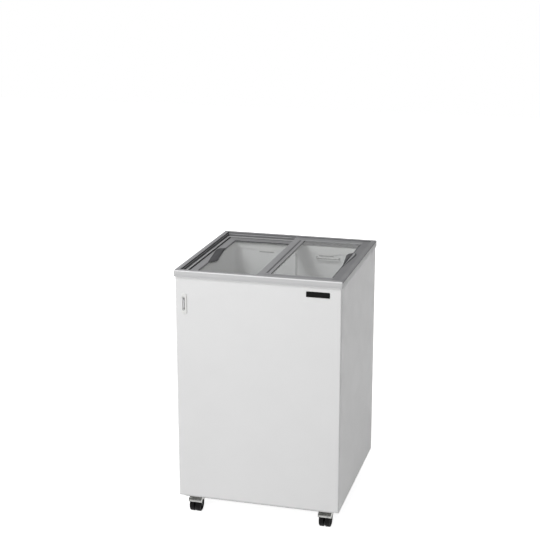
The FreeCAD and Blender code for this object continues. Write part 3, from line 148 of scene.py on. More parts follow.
@dataclass(frozen=True)
class Region:
    """Part of a surface, as spans in the object's frame.

    Attributes:
        across: Nearest and farthest distance from the middle, left or right, in mm.
        deep: Nearest and farthest distance from the middle, front or rear, in mm.
        height: Lowest and highest level, in mm.
        facing: Least and greatest upward share of the surface's normal, -1 to 1.
        axle: Depth, level and radius in mm of a round that the region stays inside.
    """

    across: Span | None = None
    deep: Span | None = None
    height: Span | None = None
    facing: Span | None = None
    axle: Point | None = None

    def mask(self, tree: Tree, place: Socket) -> Socket:
        """Value of 1 inside the region and 0 outside it.

        Args:
            tree: Node tree of the material.
            place: Position on the object.

        Returns:
            Socket with the value.
        """
        away = add_node(tree, "VectorMath", {0: place},
                        operation="ABSOLUTE").outputs["Vector"]
        spot = add_node(tree, "SeparateXYZ", {"Vector": away}).outputs
        normal = add_node(tree, "NewGeometry").outputs["Normal"]
        slope = add_node(tree, "SeparateXYZ", {"Vector": normal}).outputs["Z"]
        tests = [(spot["X"], self.across, MM), (spot["Y"], self.deep, MM),
                 (spot["Z"], self.height, MM), (slope, self.facing, 1.0)]
        if self.axle is not None:
            depth, level, radius = self.axle
            flat = add_node(tree, "VectorMath", {0: place, 1: (0.0, 1.0, 1.0)},
                            operation="MULTIPLY").outputs["Vector"]
            axle = (0.0, depth * MM, level * MM)
            reach = add_node(tree, "VectorMath", {0: flat, 1: axle},
                             operation="DISTANCE").outputs["Value"]
            tests.append((reach, (0.0, radius), MM))
        inside: Feed = 1.0
        for reading, span, unit in tests:
            if span is None:
                continue
            middle, half = (span[0] + span[1]) / 2 * unit, (span[1] - span[0]) / 2 * unit
            test = reckon(tree, "COMPARE", reading, middle, half)
            inside = reckon(tree, "MULTIPLY", inside, test)
        return inside


@dataclass(frozen=True)
class Finish:
    """A material, with how its surface was made.

    Attributes:
        name: Common name of the material and its making.
        colour: Main colour.
        drift: Colour that the main one wanders to in soft clouds.
        roughness: Lowest and highest roughness over the surface.
        cloud_mm: Size of the colour clouds.
        smudge_mm: Size of the patches of differing gloss.
        relief_mm: Size of the cells of the relief.
        depth_mm: Depth of the relief.
        metallic: 1 for bare metal.
        ior: Index of refraction.
        specular: Level of the mirrored light, 0.5 as the index of refraction gives it.
        areas: Regions of another colour, each with that colour.
    """

    name: str
    colour: str
    drift: str
    roughness: Span
    cloud_mm: float = 140.0
    smudge_mm: float = 45.0
    relief_mm: float = 3.0
    depth_mm: float = 0.02
    metallic: float = 0.0
    ior: float = 1.5
    specular: float = 0.5
    areas: tuple[tuple[Region, str], ...] = ()

    def material(self) -> bpy.types.Material:
        """Make the material of this finish, unless it is there.

        Returns:
            The material.
        """
        known = bpy.data.materials.get(self.name)
        if known is not None:
            return known
        made = bpy.data.materials.new(self.name)
        made.use_nodes = True
        tree = made.node_tree
        tree.nodes.clear()
        place = add_node(tree, "TexCoord").outputs["Object"]
        bump = add_node(tree, "Bump", {
            "Height": self.relief(tree, place), "Distance": self.depth_mm * MM, "Strength": 1.0})
        shader = add_node(tree, "BsdfPrincipled", {
            "Base Color": self.tone(tree, place), "Roughness": self.gloss(tree, place),
            "Metallic": self.metallic, "Normal": bump.outputs["Normal"]})
        if self.metallic == 0:
            shader.inputs["IOR"].default_value = self.ior
            shader.inputs["Specular IOR Level"].default_value = self.specular
        add_node(tree, "OutputMaterial", {"Surface": self.surface(tree, shader)})
        return made

    def surface(self, tree: Tree, shader: bpy.types.Node) -> Socket:
        """Shader that reaches the output."""
        return shader.outputs["BSDF"]

    def pattern(self, tree: Tree, place: Socket) -> Socket:
        """Share of the drift colour over the surface."""
        return noise(tree, place, per_metre(self.cloud_mm), CLOUD_DETAIL)

    def tone(self, tree: Tree, place: Socket) -> Socket:
        """Colour of the surface, with its clouds and its regions of another colour.

        Args:
            tree: Node tree of the material.
            place: Position on the object.

        Returns:
            Socket with the colour.
        """
        layers = [(self.pattern(tree, place), self.drift)]
        layers += [(region.mask(tree, place), colour) for region, colour in self.areas]
        tone: Feed = linear(self.colour)
        for share, colour in layers:
            tone = add_node(tree, "Mix", {"Factor": share, "A": tone, "B": linear(colour)},
                            data_type="RGBA").outputs["Result"]
        return tone

    def gloss(self, tree: Tree, place: Socket) -> Socket:
        """Roughness of the surface, in soft patches."""
        smudge = noise(tree, place, per_metre(self.smudge_mm), CLOUD_DETAIL)
        return add_node(tree, "MapRange", {
            "Value": smudge, "From Min": SMUDGE_SPAN[0], "From Max": SMUDGE_SPAN[1],
            "To Min": self.roughness[0], "To Max": self.roughness[1]}).outputs["Result"]

    def relief(self, tree: Tree, place: Socket) -> Socket:
        """Height of the surface's fine relief: soft waves, as paint leaves."""
        return noise(tree, place, per_metre(self.relief_mm), WAVE_DETAIL)


@dataclass(frozen=True)
class MouldedPlastic(Finish):
    """Plastic from a spark eroded mould: a fine even grain of small pits."""

    def relief(self, tree: Tree, place: Socket) -> Socket:
        """Pitted grain."""
        return add_node(tree, "TexVoronoi", {
            "Vector": place, "Scale": per_metre(self.relief_mm)},
            feature="SMOOTH_F1").outputs["Distance"]


@dataclass(frozen=True)
class DrawnProfile(Finish):
    """Extruded or drawn profile: faint lines from the die run along its length.

    Attributes:
        line_mm: Length over which a line fades.
    """

    along: Axis = Axis.X
    line_mm: float = 400.0

    def relief(self, tree: Tree, place: Socket) -> Socket:
        """Die lines along the profile.

        Args:
            tree: Node tree of the material.
            place: Position on the object.

        Returns:
            Socket with the height.
        """
        scale = [per_metre(self.relief_mm)] * 3
        scale[self.along.value] = per_metre(self.line_mm)
        stretched = add_node(tree, "Mapping", {"Vector": place, "Scale": scale})
        return noise(tree, stretched.outputs["Vector"], 1.0, LINE_DETAIL)


@dataclass(frozen=True)
class ZincCoat(Finish):
    """Zinc coated steel: flat crystals of slightly differing grey."""

    def pattern(self, tree: Tree, place: Socket) -> Socket:
        """One even share for each crystal."""
        crystals = add_node(tree, "TexVoronoi", {
            "Vector": place, "Scale": per_metre(self.cloud_mm)}).outputs["Color"]
        return add_node(tree, "SeparateColor", {"Color": crystals}).outputs["Red"]


@dataclass(frozen=True)
class FloatGlass(Finish):
    """Toughened float glass: clear faces, faintly uneven, that let lamps through.

    Attributes:
        tint: Colour of the lamps' light behind it.
    """

    tint: str = "#f8f9f9"

    def surface(self, tree: Tree, shader: bpy.types.Node) -> Socket:
        """Glass that is plainly clear for rays from lamps.

        Args:
            tree: Node tree of the material.
            shader: Its main shader.

        Returns:
            Socket of the whole shader.
        """
        shader.inputs["Transmission Weight"].default_value = 1.0
        lamp = add_node(tree, "LightPath").outputs["Is Shadow Ray"]
        clear = add_node(tree, "BsdfTransparent", {"Color": linear(self.tint)})
        return add_node(tree, "MixShader", {
            0: lamp, 1: shader.outputs["BSDF"], 2: clear.outputs["BSDF"]}).outputs["Shader"]


# Upward shares of the normals of faces that stand upright, and of those that lean a little more.
UPRIGHT, STEEP = (-0.5, 0.5), (-0.6, 0.6)

# Lowest edge of the sheets, darkened along the hem as painted shade.
HEM_SHADE = Region(deep=(270.0, 280.0), height=(60.0, 70.5), facing=STEEP)
# Steel sheet with baked white enamel: smooth and fairly glossy, with a faint orange peel.
ENAMEL = Finish(
    "white_baked_enamel", "#e7e7e7", "#e2e2e2", (0.30, 0.42), relief_mm=4.0, depth_mm=0.03,
    areas=((HEM_SHADE, "#d6d6d6"),))
# The same sheet with grey primer, which is duller.
PRIMER = Finish("grey_primed_steel", "#9c9c9b", "#929291", (0.45, 0.6), depth_mm=0.03)

# Upright walls of the lid channels, foot, top flange and its rounded edges, whose tones are painted
# light and shade.
CHANNEL_WALL_SHADE = Region(across=(0.0, 260.0), deep=(0.0, 263.5), height=(800.0, 845.6), facing=UPRIGHT)
LOWER_WALL_SHADE = Region(deep=(245.0, 251.0), height=(812.0, 830.4), facing=UPRIGHT)
RIM_FOOT_SHADE = Region(deep=(274.0, 281.0), height=(826.0, 833.0), facing=STEEP)
RIM_FLANGE_SHADE = Region(height=(840.0, 847.0), facing=(0.985, 1.0))
RIM_ROUND_LIGHTING = Region(height=(840.0, 846.0), facing=(0.15, 0.985))
# Grey vinyl profile, extruded: even satin with lines along its length, with painted shade on its
# channel walls, foot and top flange, and a painted highlight on its rounded edges.
RIM_ACROSS = DrawnProfile(
    "grey_extruded_vinyl_across", "#cecece", "#c7c7c8", (0.48, 0.58), relief_mm=2.0, specular=0.15,
    along=Axis.X, areas=((CHANNEL_WALL_SHADE, "#7c7c7e"), (LOWER_WALL_SHADE, "#666668"), (RIM_FOOT_SHADE, "#c4c4c5"),
    (RIM_FLANGE_SHADE, "#a3a3a5"), (RIM_ROUND_LIGHTING, "#ededee")))
# The length on the left: the same vinyl, paler as painted light on its outer face, with painted
# shade on its channel walls and top flange.
RIM_ALONG = DrawnProfile(
    "grey_extruded_vinyl_along", "#f2f2f3", "#ececed", (0.48, 0.58), relief_mm=2.0, specular=0.15,
    along=Axis.Y, areas=((CHANNEL_WALL_SHADE, "#5c5c5e"), (RIM_FLANGE_SHADE, "#a3a3a5"),
    (RIM_ROUND_LIGHTING, "#cacacc")))
# The length on the right: the same vinyl, paler as painted light on its outer face, its top flange
# and rounded edges painted as dark as the rails of the lids, as painted shade.
RIM_SHADED_TOP = DrawnProfile(
    "shaded_top_extruded_vinyl_along", "#f4f4f5", "#eeeeef", (0.45, 0.55), relief_mm=2.0, specular=0.2,
    along=Axis.Y, areas=((CHANNEL_WALL_SHADE, "#5c5c5e"), (RIM_FLANGE_SHADE, "#868688"),
    (RIM_ROUND_LIGHTING, "#8c8c8e")))
# Bead of the channels: the same vinyl in its own grey, paler only than the painted shade of the
# channel walls round it.
RIM_BEAD = DrawnProfile(
    "extruded_vinyl_bead", "#c6c6c8", "#bcbcbe", (0.45, 0.55), relief_mm=1.0, specular=0.15,
    along=Axis.X)
# End face of the left lid's inner rail and side of the right lid's glazing strip: near white as
# painted light, where they face right into shade.
LIT_RAIL_END = Region(across=(21.0, 22.0), facing=STEEP)
LIT_STRIP_SIDE = Region(across=(30.8, 32.0), facing=STEEP)
# Inner walls of the edge rails and the upper lid's gasket beside them, made paler as painted light
# where they lie in shade.
LIT_SIGHT_WALL = Region(deep=(205.0, 235.0), facing=UPRIGHT)
LIT_UPPER_RUN = Region(deep=(222.0, 230.0))
# Profiles of the lids: the same vinyl in a darker grey; the right lid's outer rail has a darker
# copy of it, as painted shade.
LID_ACROSS = DrawnProfile(
    "lid_extruded_vinyl_across", "#9a9a9c", "#929294", (0.5, 0.6), relief_mm=2.0, specular=0.12,
    along=Axis.X, areas=((LIT_SIGHT_WALL, "#dededf"),))
LID_ALONG = DrawnProfile(
    "lid_extruded_vinyl_along", "#a3a3a5", "#9b9b9d", (0.5, 0.6), relief_mm=2.0, specular=0.12,
    along=Axis.Y, areas=((LIT_RAIL_END, "#f2f2f2"), (LIT_STRIP_SIDE, "#f2f2f2")))
LID_SHADED = DrawnProfile(
    "shaded_grey_extruded_vinyl", "#88888a", "#828284", (0.5, 0.6), relief_mm=2.0, specular=0.12,
    along=Axis.Y)
# Soft vinyl of the glazing gaskets: dark grey and dull, with fine lines along it.
GASKET = DrawnProfile(
    "grey_soft_vinyl_gasket", "#666668", "#5e5e60", (0.55, 0.7), relief_mm=0.8, specular=0.15,
    along=Axis.Y, areas=((LIT_UPPER_RUN, "#b4b4b6"),))
# Moulded ABS of the grips: matte dark grey with a fine grain.
GRIP_BROW = MouldedPlastic(
    "dark_grey_moulded_abs", "#565658", "#4e4e50", (0.6, 0.7), relief_mm=1.2, depth_mm=0.03,
    specular=0.1)
# The same ABS in a paler grey, for the right grip's finger dish as painted light; the left grip's
# dish keeps the dark grey as painted shade.
GRIP_DISH = MouldedPlastic(
    "grey_moulded_abs", "#b4b4b6", "#acacae", (0.6, 0.7), relief_mm=1.2, depth_mm=0.03,
    specular=0.1)
# Toughened float glass: clear, with faces that wave very slightly.
GLASS = FloatGlass(
    "toughened_float_glass", "#fafafa", "#f7f8f8", (0.0, 0.02), relief_mm=60.0, depth_mm=0.01,
    ior=1.12)
# Moulded nylon of the glides: milky and slightly waxy.
NYLON = MouldedPlastic("white_moulded_nylon", "#dddcd6", "#d2d1ca", (0.4, 0.5), relief_mm=1.5)
# Polypropylene pile of the brush seal: black and without shine.
PILE = Finish(
    "black_pile_weatherstrip", "#1c1c1c", "#101010", (0.8, 0.95), relief_mm=0.8, depth_mm=0.2)

# Lock seam down the rear wall, greyer than the sheet, and a painted shadow line under the collar's
# dips.
SEAM = Region(across=(0.0, 3.6), deep=(220.0, 231.0), height=(300.0, 790.0))
DIP_SHADOW = Region(across=(82.0, 134.0), deep=(227.0, 230.0), height=(785.5, 790.6))
# Coated aluminium of the tub: white with a low shine.
LINER = Finish(
    "white_coated_aluminium", "#f0f0ef", "#e9eae9", (0.35, 0.5), relief_mm=6.0, depth_mm=0.05,
    areas=((SEAM, "#bcbcbb"), (DIP_SHADOW, "#aaaaa9")))
# Vacuum formed ABS of the collar: white, smooth and glossy.
COLLAR = Finish(
    "white_vacuum_formed_abs", "#f0f0ee", "#ebebe9", (0.3, 0.4), relief_mm=5.0, depth_mm=0.03)

# Poured polyurethane foam: cream, dull and pitted.
FOAM = MouldedPlastic(
    "cream_polyurethane_foam", "#d9c48a", "#cbb374", (0.85, 0.95), relief_mm=2.0, depth_mm=0.4)
# Drawn copper tube: warm metal, browned in patches.
COPPER = Finish(
    "drawn_copper_tube", "#b5764f", "#8f5636", (0.28, 0.5), cloud_mm=18.0, metallic=1.0,
    relief_mm=2.0, depth_mm=0.01)
# Stoved black paint on steel: satin with a faint orange peel.
BLACK_STEEL = Finish("black_stoved_steel", "#1d1d1e", "#141415", (0.35, 0.5), depth_mm=0.03)
# Moulded rubber: dull black with a slight grain.
RUBBER = MouldedPlastic(
    "black_moulded_rubber", "#1b1b1b", "#141414", (0.7, 0.85), relief_mm=1.5, depth_mm=0.05)
# Moulded black ABS: satin with a fine grain.
BLACK_PLASTIC = MouldedPlastic(
    "black_moulded_abs", "#1e1e1f", "#171718", (0.4, 0.5), relief_mm=1.2, depth_mm=0.03)
# Printed white marks of the dial: thin dull paint.
DIAL_PAINT = Finish(
    "white_printed_paint", "#d9d9d6", "#cfcfcc", (0.5, 0.6), cloud_mm=4.0, relief_mm=0.8,
    depth_mm=0.01)

# Cast acrylic of the badge: deep glossy black.
BADGE = Finish(
    "black_gloss_acrylic", "#060607", "#040405", (0.12, 0.2), relief_mm=20.0, depth_mm=0.01,
    specular=0.1)
# Moulded white ABS of the bezel: smooth with hardly any grain.
BEZEL = MouldedPlastic(
    "white_moulded_abs", "#e6e6e4", "#e0e0de", (0.3, 0.4), relief_mm=1.5, depth_mm=0.01)
# Card behind the thermometer tube: pale grey and dull.
SCALE_CARD = Finish(
    "grey_coated_card", "#dcdcdd", "#d5d5d6", (0.5, 0.6), cloud_mm=8.0, relief_mm=1.0,
    depth_mm=0.01)
# Glass tube with its grey filling: glossy and smooth.
TUBE = Finish(
    "grey_filled_glass_tube", "#8c8c8e", "#828284", (0.08, 0.16), cloud_mm=6.0, relief_mm=8.0,
    depth_mm=0.01)
# Moulded dark clips of the tube: satin.
CLIP = MouldedPlastic("dark_moulded_abs_clip", "#5c5c5e", "#545456", (0.4, 0.5), relief_mm=0.8)

# Moulded nylon wheels: black and dull, scuffed by dust.
WHEEL = MouldedPlastic(
    "black_moulded_nylon_wheel", "#0b0b0b", "#060606", (0.5, 0.65), cloud_mm=9.0, relief_mm=1.4,
    depth_mm=0.03, specular=0.15)
# Zinc plated pressed steel: fine cloudy crystals with a dull shine.
ZINC = ZincCoat(
    "zinc_plated_steel", "#c9c9c6", "#a9aaa8", (0.28, 0.45), cloud_mm=5.0, metallic=1.0,
    relief_mm=1.5)
# Hot dipped sheet: the crystals are larger and duller.
GALVANISED = ZincCoat(
    "galvanised_sheet", "#b8bbbc", "#979a9c", (0.35, 0.5), cloud_mm=14.0, metallic=1.0,
    relief_mm=6.0, depth_mm=0.03)
# Bright drawn steel bar: fine lines along its length.
AXLE_STEEL = DrawnProfile(
    "bright_drawn_steel", "#a8a8aa", "#97979a", (0.25, 0.4), metallic=1.0, relief_mm=0.8,
    depth_mm=0.01, along=Axis.X)


def dress(finish: Finish, *nodes: str) -> None:
    """Give CAD nodes a finish.

    Args:
        finish: The finish.
        nodes: Names of the nodes.
    """
    for node in nodes:
        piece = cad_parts[node]
        piece.data.materials.clear()
        piece.data.materials.append(finish.material())
        LOG.info("%s: %s", node, finish.name)


def skin(shape: Mesh, rings: Sequence[Sequence[Vector]], closed: bool = False,
         finish: int = 0) -> list[bmesh.types.BMFace]:
    """Cover a row of rings of points.

    Args:
        shape: Mesh that gets the faces.
        rings: Rings with the same number of points each.
        closed: Whether the last ring joins the first; otherwise both ends are capped.
        finish: Number of the material of the faces.

    Returns:
        The side faces, ring by ring.
    """
    rows = [[shape.verts.new(point) for point in ring] for ring in rings]
    pairs = list(zip(rows, rows[1:]))
    if closed:
        pairs.append((rows[-1], rows[0]))
    sides = []
    for near, far in pairs:
        for place, corner in enumerate(near):
            after = (place + 1) % len(near)
            sides.append(shape.faces.new((corner, near[after], far[after], far[place])))
    caps = [] if closed else [shape.faces.new(rows[0]), shape.faces.new(rows[-1])]
    for face in sides + caps:
        face.material_index = finish
    return sides


def circle(steps: int) -> list[float]:
    """Angles of evenly spaced points on a circle."""
    return [2 * pi * step / steps for step in range(steps)]


def half_circle(steps: int) -> list[float]:
    """Angles of evenly spaced points on a half circle, both ends included."""
    return [pi * step / steps for step in range(steps + 1)]


def rounded_outline(half_width: float, half_height: float, radius: float,
                    steps: int = 6) -> list[Span]:
    """Corner-rounded rectangle round the origin.

    Args:
        half_width: Half of its width.
        half_height: Half of its height.
        radius: Radius of its corners.
        steps: Steps in each corner.

    Returns:
        Its points, anticlockwise.
    """
    points = []
    for quarter, (right, up) in enumerate(((1, 1), (-1, 1), (-1, -1), (1, -1))):
        for step in range(steps + 1):
            turn = pi / 2 * (quarter + step / steps)
            points.append((right * (half_width - radius) + radius * cos(turn),
                           up * (half_height - radius) + radius * sin(turn)))
    return points


def place_piece(name: str, shape: Mesh, finishes: Sequence[Finish], body: str, slot: str,
                *nodes: str, sharp: float = 40.0) -> None:
    """Turn a mesh into a piece of the freezer.

    Args:
        name: Name of the piece.
        shape: Its mesh in metres, used up.
        finishes: Its materials, in the order of the faces' numbers.
        body: Body that it rides on.
        slot: Material slot of the record; not used.
        nodes: CAD nodes that it stands for.
        sharp: Angle in degrees above which an edge stays sharp.
    """
    bmesh.ops.recalc_face_normals(shape, faces=shape.faces)
    data = bpy.data.meshes.new(name)
    shape.to_mesh(data)
    shape.free()
    for finish in finishes:
        data.materials.append(finish.material())
    data.shade_smooth()
    data.set_sharp_from_angle(angle=radians(sharp))
    piece = bpy.data.objects.new(name, data)
    bpy.context.scene.collection.objects.link(piece)
    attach(piece, body)
    if nodes:
        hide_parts(*nodes)
    LOG.info("%s on %s: %s", name, body, ", ".join(finish.name for finish in finishes))


@dataclass
class Cabinet:
    """Painted sheet body with the screws of its rear.

    Attributes:
        dome_mm: Radius and rise of each ring of a screw's head.
        recess: Size of each ring of its cross recess against the mouth, and its rise in mm.
    """

    screw_x_mm: float = 266.5
    screw_y_mm: float = 276.0
    screw_levels_mm: tuple[float, ...] = (90.0, 247.0, 331.0, 557.0, 783.0)
    head_steps: int = 32
    dome_mm: Profile = ((4.0, 0.0), (4.0, 0.6), (3.75, 1.1), (3.2, 1.5), (2.5, 1.75))
    cross_reach_mm: float = 1.9
    cross_half_mm: float = 0.45
    recess: Profile = ((1.0, 1.8), (0.85, 0.7))

    def build(self) -> None:
        """Dress the sheets and make the screws."""
        dress(ENAMEL, "front_panel", "left_side_panel", "right_side_panel", "rear_panel",
              "rear_grille")
        dress(PRIMER, "base_pan")
        dress(FOAM, "insulation_foam")
        self.screws()

    def cross(self, turn: float) -> float:
        """Reach of a cross recess.

        Args:
            turn: Angle round the middle of the recess.

        Returns:
            Distance in mm from that middle to the edge.
        """
        fold = abs((turn + pi / 4) % (pi / 2) - pi / 4)
        arm = self.cross_reach_mm / cos(fold)
        return min(arm, self.cross_half_mm / sin(fold)) if fold else arm

    def screws(self) -> None:
        """Pan head screws with a cross recess, down both sides of the rear."""
        turns = circle(self.head_steps)
        rings = [[(radius, rise)] * self.head_steps for radius, rise in self.dome_mm]
        rings += [[(share * self.cross(turn), rise) for turn in turns]
                  for share, rise in self.recess]
        shape = bmesh.new()
        for x in (-self.screw_x_mm, self.screw_x_mm):
            for level in self.screw_levels_mm:
                skin(shape, [[Vector((x + radius * cos(turn), self.screw_y_mm + rise,
                                      level + radius * sin(turn))) * MM
                              for turn, (radius, rise) in zip(turns, ring)] for ring in rings])
        place_piece("rear_pan_head_screws", shape, (ZINC,), "cabinet", "zinc_plate", "panel_screws",
                    sharp=35.0)


@dataclass
class Rim:
    """Grey rim profile that frames the mouth and holds the lid channels.

    Attributes:
        well_mm: Half of the width and depth between the walls of the upper channel.
        bead_sink_mm: How far the foot of the bead goes into those walls.
    """

    well_mm: Span = (259.5, 263.0)
    bead_level_mm: float = 838.5
    bead_half_mm: float = 1.0
    bead_rise_mm: float = 0.7
    bead_sink_mm: float = 0.05
    bead_steps: int = 8

    def build(self) -> None:
        """Dress the four lengths of profile and run the bead round them."""
        dress(RIM_ACROSS, "front_rim_rail", "rear_rim_rail")
        dress(RIM_ALONG, "left_rim_rail")
        dress(RIM_SHADED_TOP, "right_rim_rail")
        self.bead()

    def bead(self) -> None:
        """Rounded bead on the walls of the upper channel, all round."""
        rings = []
        for right, rear in ((-1, -1), (1, -1), (1, 1), (-1, 1)):
            ring = []
            for turn in half_circle(self.bead_steps):
                inset = self.bead_rise_mm * sin(turn) - self.bead_sink_mm
                level = self.bead_level_mm + self.bead_half_mm * cos(turn)
                ring.append(Vector((right * (self.well_mm[0] - inset),
                                    rear * (self.well_mm[1] - inset), level)) * MM)
            rings.append(ring)
        shape = bmesh.new()
        skin(shape, rings, closed=True)
        place_piece("rim_channel_bead", shape, (RIM_BEAD,), "cabinet", "rim_grey")


@dataclass(frozen=True)
class LidTrim:
    """Finishes of one lid and the form of its grip.

    Attributes:
        rail: Its outer rail.
        brow: The raised half of its grip.
        dish: The finger dish of its grip.
        reach: Widths of the dish and the brow, against the usual ones.
        lean: 1 where the brow is fuller to the rear, -1 where it is fuller to the front.
    """

    rail: Finish
    brow: Finish
    dish: Finish
    reach: Span
    lean: int


# The left grip's dish has the dark brow finish, as painted shade.
LEFT_TRIM = LidTrim(LID_ALONG, GRIP_BROW, GRIP_BROW, reach=(1.4, 1.1), lean=-1)
# The right lid's outer rail has the darker copy of the lid vinyl, as painted shade.
RIGHT_TRIM = LidTrim(LID_SHADED, GRIP_BROW, GRIP_DISH, reach=(0.9, 0.88), lean=1)


@dataclass
class BrushSeal:
    """Brush seal between the lids: a backing strip with a row of pile tufts.

    Attributes:
        level_mm: Height of its foot.
        backing_mm: Place and rise of each corner of the backing strip.
        tuft: Share of the lean, then half width, half thickness and rise in mm, of each ring.
    """

    level_mm: float
    half_mm: float = 245.0
    middle_mm: float = 10.0
    backing_mm: Profile = (
        (-4.0, 0.0), (-4.0, 0.8), (-2.6, 1.2), (2.6, 1.2), (4.0, 0.8), (4.0, 0.0))
    pitch_mm: float = 2.5
    lean_mm: float = 0.5
    tuft_steps: int = 6
    tuft: tuple[tuple[float, float, float, float], ...] = (
        (0.0, 2.0, 1.2, 1.0), (1.0, 2.4, 1.25, 3.2), (1.0, 1.6, 0.8, 4.6))

    def at(self, across: float, depth: float, rise: float) -> Vector:
        """Point in metres, from its place in mm beside the seal's middle and above its foot."""
        return Vector((self.middle_mm + across, depth, self.level_mm + rise)) * MM

    def build(self) -> None:
        """Make the strip, and tufts that lean left, stand and lean right by turns."""
        shape = bmesh.new()
        skin(shape, [[self.at(across, depth, rise) for across, rise in self.backing_mm]
                     for depth in (-self.half_mm, self.half_mm)])
        turns = circle(self.tuft_steps)
        for number in range(int(2 * self.half_mm / self.pitch_mm)):
            depth = -self.half_mm + self.pitch_mm * (number + 0.5)
            lean = self.lean_mm * (number % 3 - 1)
            skin(shape, [[self.at(share * lean + wide * cos(turn), depth + thick * sin(turn), rise)
                          for turn in turns] for share, wide, thick, rise in self.tuft])
        place_piece("left_lid_brush_seal", shape, (PILE,), "left_lid", "brush_seal",
                    "left_lid_seal")


@dataclass
class SlidingLid:
    """Framed glass lid with its gasket and grip, and the brush seal on the left one.

    Attributes:
        outer_edge_mm: Place of its outer edge, left to right.
        inward: 1 where the lid runs to the right from that edge, -1 where it runs to the left.
        clear_half_mm: Half of the clear depth of its glass.
        lip: Share of the gasket's width, and rise in mm, of each of its corners.
        blunt: Power that keeps the grip's width full until near its ends.
        waist: Share of that width in the middle of its length.
        least: Share of that width at its ends.
        arch: Power of its arch along its length.
        flat_mm: Rise up to which its section doesn't follow the arch.
        section_mm: Reach from the edge of the rail, and rise, of each corner of that section.
        dish: Sides of the section that are the finger dish.
    """

    side: Side
    outer_edge_mm: float
    inward: int
    top_mm: float
    clear_half_mm: float
    trim: LidTrim
    outer_rail_mm: float = 25.0
    inner_rail_mm: float = 243.0
    gasket_mm: float = 4.4
    groove_mm: float = 6.3
    lip: Profile = (
        (-0.02, -1.98), (-0.02, -0.8), (0.25, -0.6), (0.7, -0.75), (0.95, -1.2), (1.0, -1.98))
    grip_half_mm: float = 95.0
    grip_steps: int = 48
    grip_end: float = 0.985
    blunt: int = 12
    waist: float = 0.62
    least: float = 0.05
    arch: float = 0.6
    flat_mm: float = 0.35
    section_mm: Profile = (
        (-16.0, -0.3), (-15.6, 0.7), (-14.2, 1.0), (-12.0, 0.7), (-8.0, 0.35), (-4.0, 0.3),
        (-1.5, 0.6), (-0.3, 1.8), (1.2, 3.2), (3.4, 3.85), (6.0, 3.95), (10.0, 3.5), (14.0, 2.5),
        (17.5, 1.2), (20.0, 0.0), (21.0, -0.9), (0.6, -0.95))
    dish: range = range(4, 7)

    def build(self) -> None:
        """Dress the lid's frame and make its soft and moulded pieces."""
        name = self.side.value
        dress(GLASS, f"{name}_lid_glass")
        dress(self.trim.rail, f"{name}_lid_outer_rail")
        dress(LID_ALONG, f"{name}_lid_inner_rail")
        dress(LID_ACROSS, f"{name}_lid_edge_rails")
        dress(NYLON, f"{name}_lid_glides")
        self.gasket()
        self.grip()
        if self.side is Side.LEFT:
            BrushSeal(self.top_mm).build()

    def at(self, reach: float, depth: float, rise: float) -> Vector:
        """Point in metres, from its reach in mm inwards, its depth and its rise over the top."""
        return Vector((self.outer_edge_mm + self.inward * reach, depth, self.top_mm + rise)) * MM

    def gasket(self) -> None:
        """Glazing gasket with a rounded lip, all round the clear glass."""
        rings = []
        for inner, rear in ((False, -1), (True, -1), (True, 1), (False, 1)):
            ring = []
            for share, rise in self.lip:
                reach = self.outer_rail_mm + share * self.gasket_mm
                if inner:
                    reach = self.inner_rail_mm - share * self.groove_mm
                depth = rear * (self.clear_half_mm - share * self.gasket_mm)
                ring.append(self.at(reach, depth, rise))
            rings.append(ring)
        shape = bmesh.new()
        skin(shape, rings, closed=True)
        name = self.side.value
        place_piece(f"{name}_lid_gasket", shape, (GASKET,), f"{name}_lid", "lid_grey")

    def fullness(self, share: float, lean: int) -> float:
        """Share of its full width that a half of the grip has, from -1 at the front to 1."""
        full = min(1.0, self.waist * (1 + lean * share))
        return max((1 - share ** self.blunt) * full, self.least)

    def grip(self) -> None:
        """Lens-shaped grip: a brow over the glass and a shallow finger dish on the rail."""
        rings = []
        for step in range(self.grip_steps + 1):
            share = self.grip_end * sin(pi * (step / self.grip_steps - 0.5))
            high = (1 - share * share) ** self.arch
            wide = (self.trim.reach[0] * self.fullness(share, 1),
                    self.trim.reach[1] * self.fullness(share, self.trim.lean))
            rings.append([self.at(self.outer_rail_mm + reach * wide[reach > 0],
                                  self.grip_half_mm * share,
                                  rise * high if rise > self.flat_mm else rise)
                          for reach, rise in self.section_mm])
        shape = bmesh.new()
        for index, face in enumerate(skin(shape, rings)):
            face.material_index = int(index % len(self.section_mm) in self.dish)
        name = self.side.value
        place_piece(f"{name}_lid_finger_grip", shape, (self.trim.brow, self.trim.dish),
                    f"{name}_lid", "grip_grey", f"{name}_lid_grip", sharp=60.0)


class Tub:
    """Storage tub with its collar and sensor."""

    def build(self) -> None:
        """Dress the tub."""
        dress(LINER, "inner_liner")
        dress(COLLAR, "liner_collar")
        dress(ZINC, "sensor_tube")


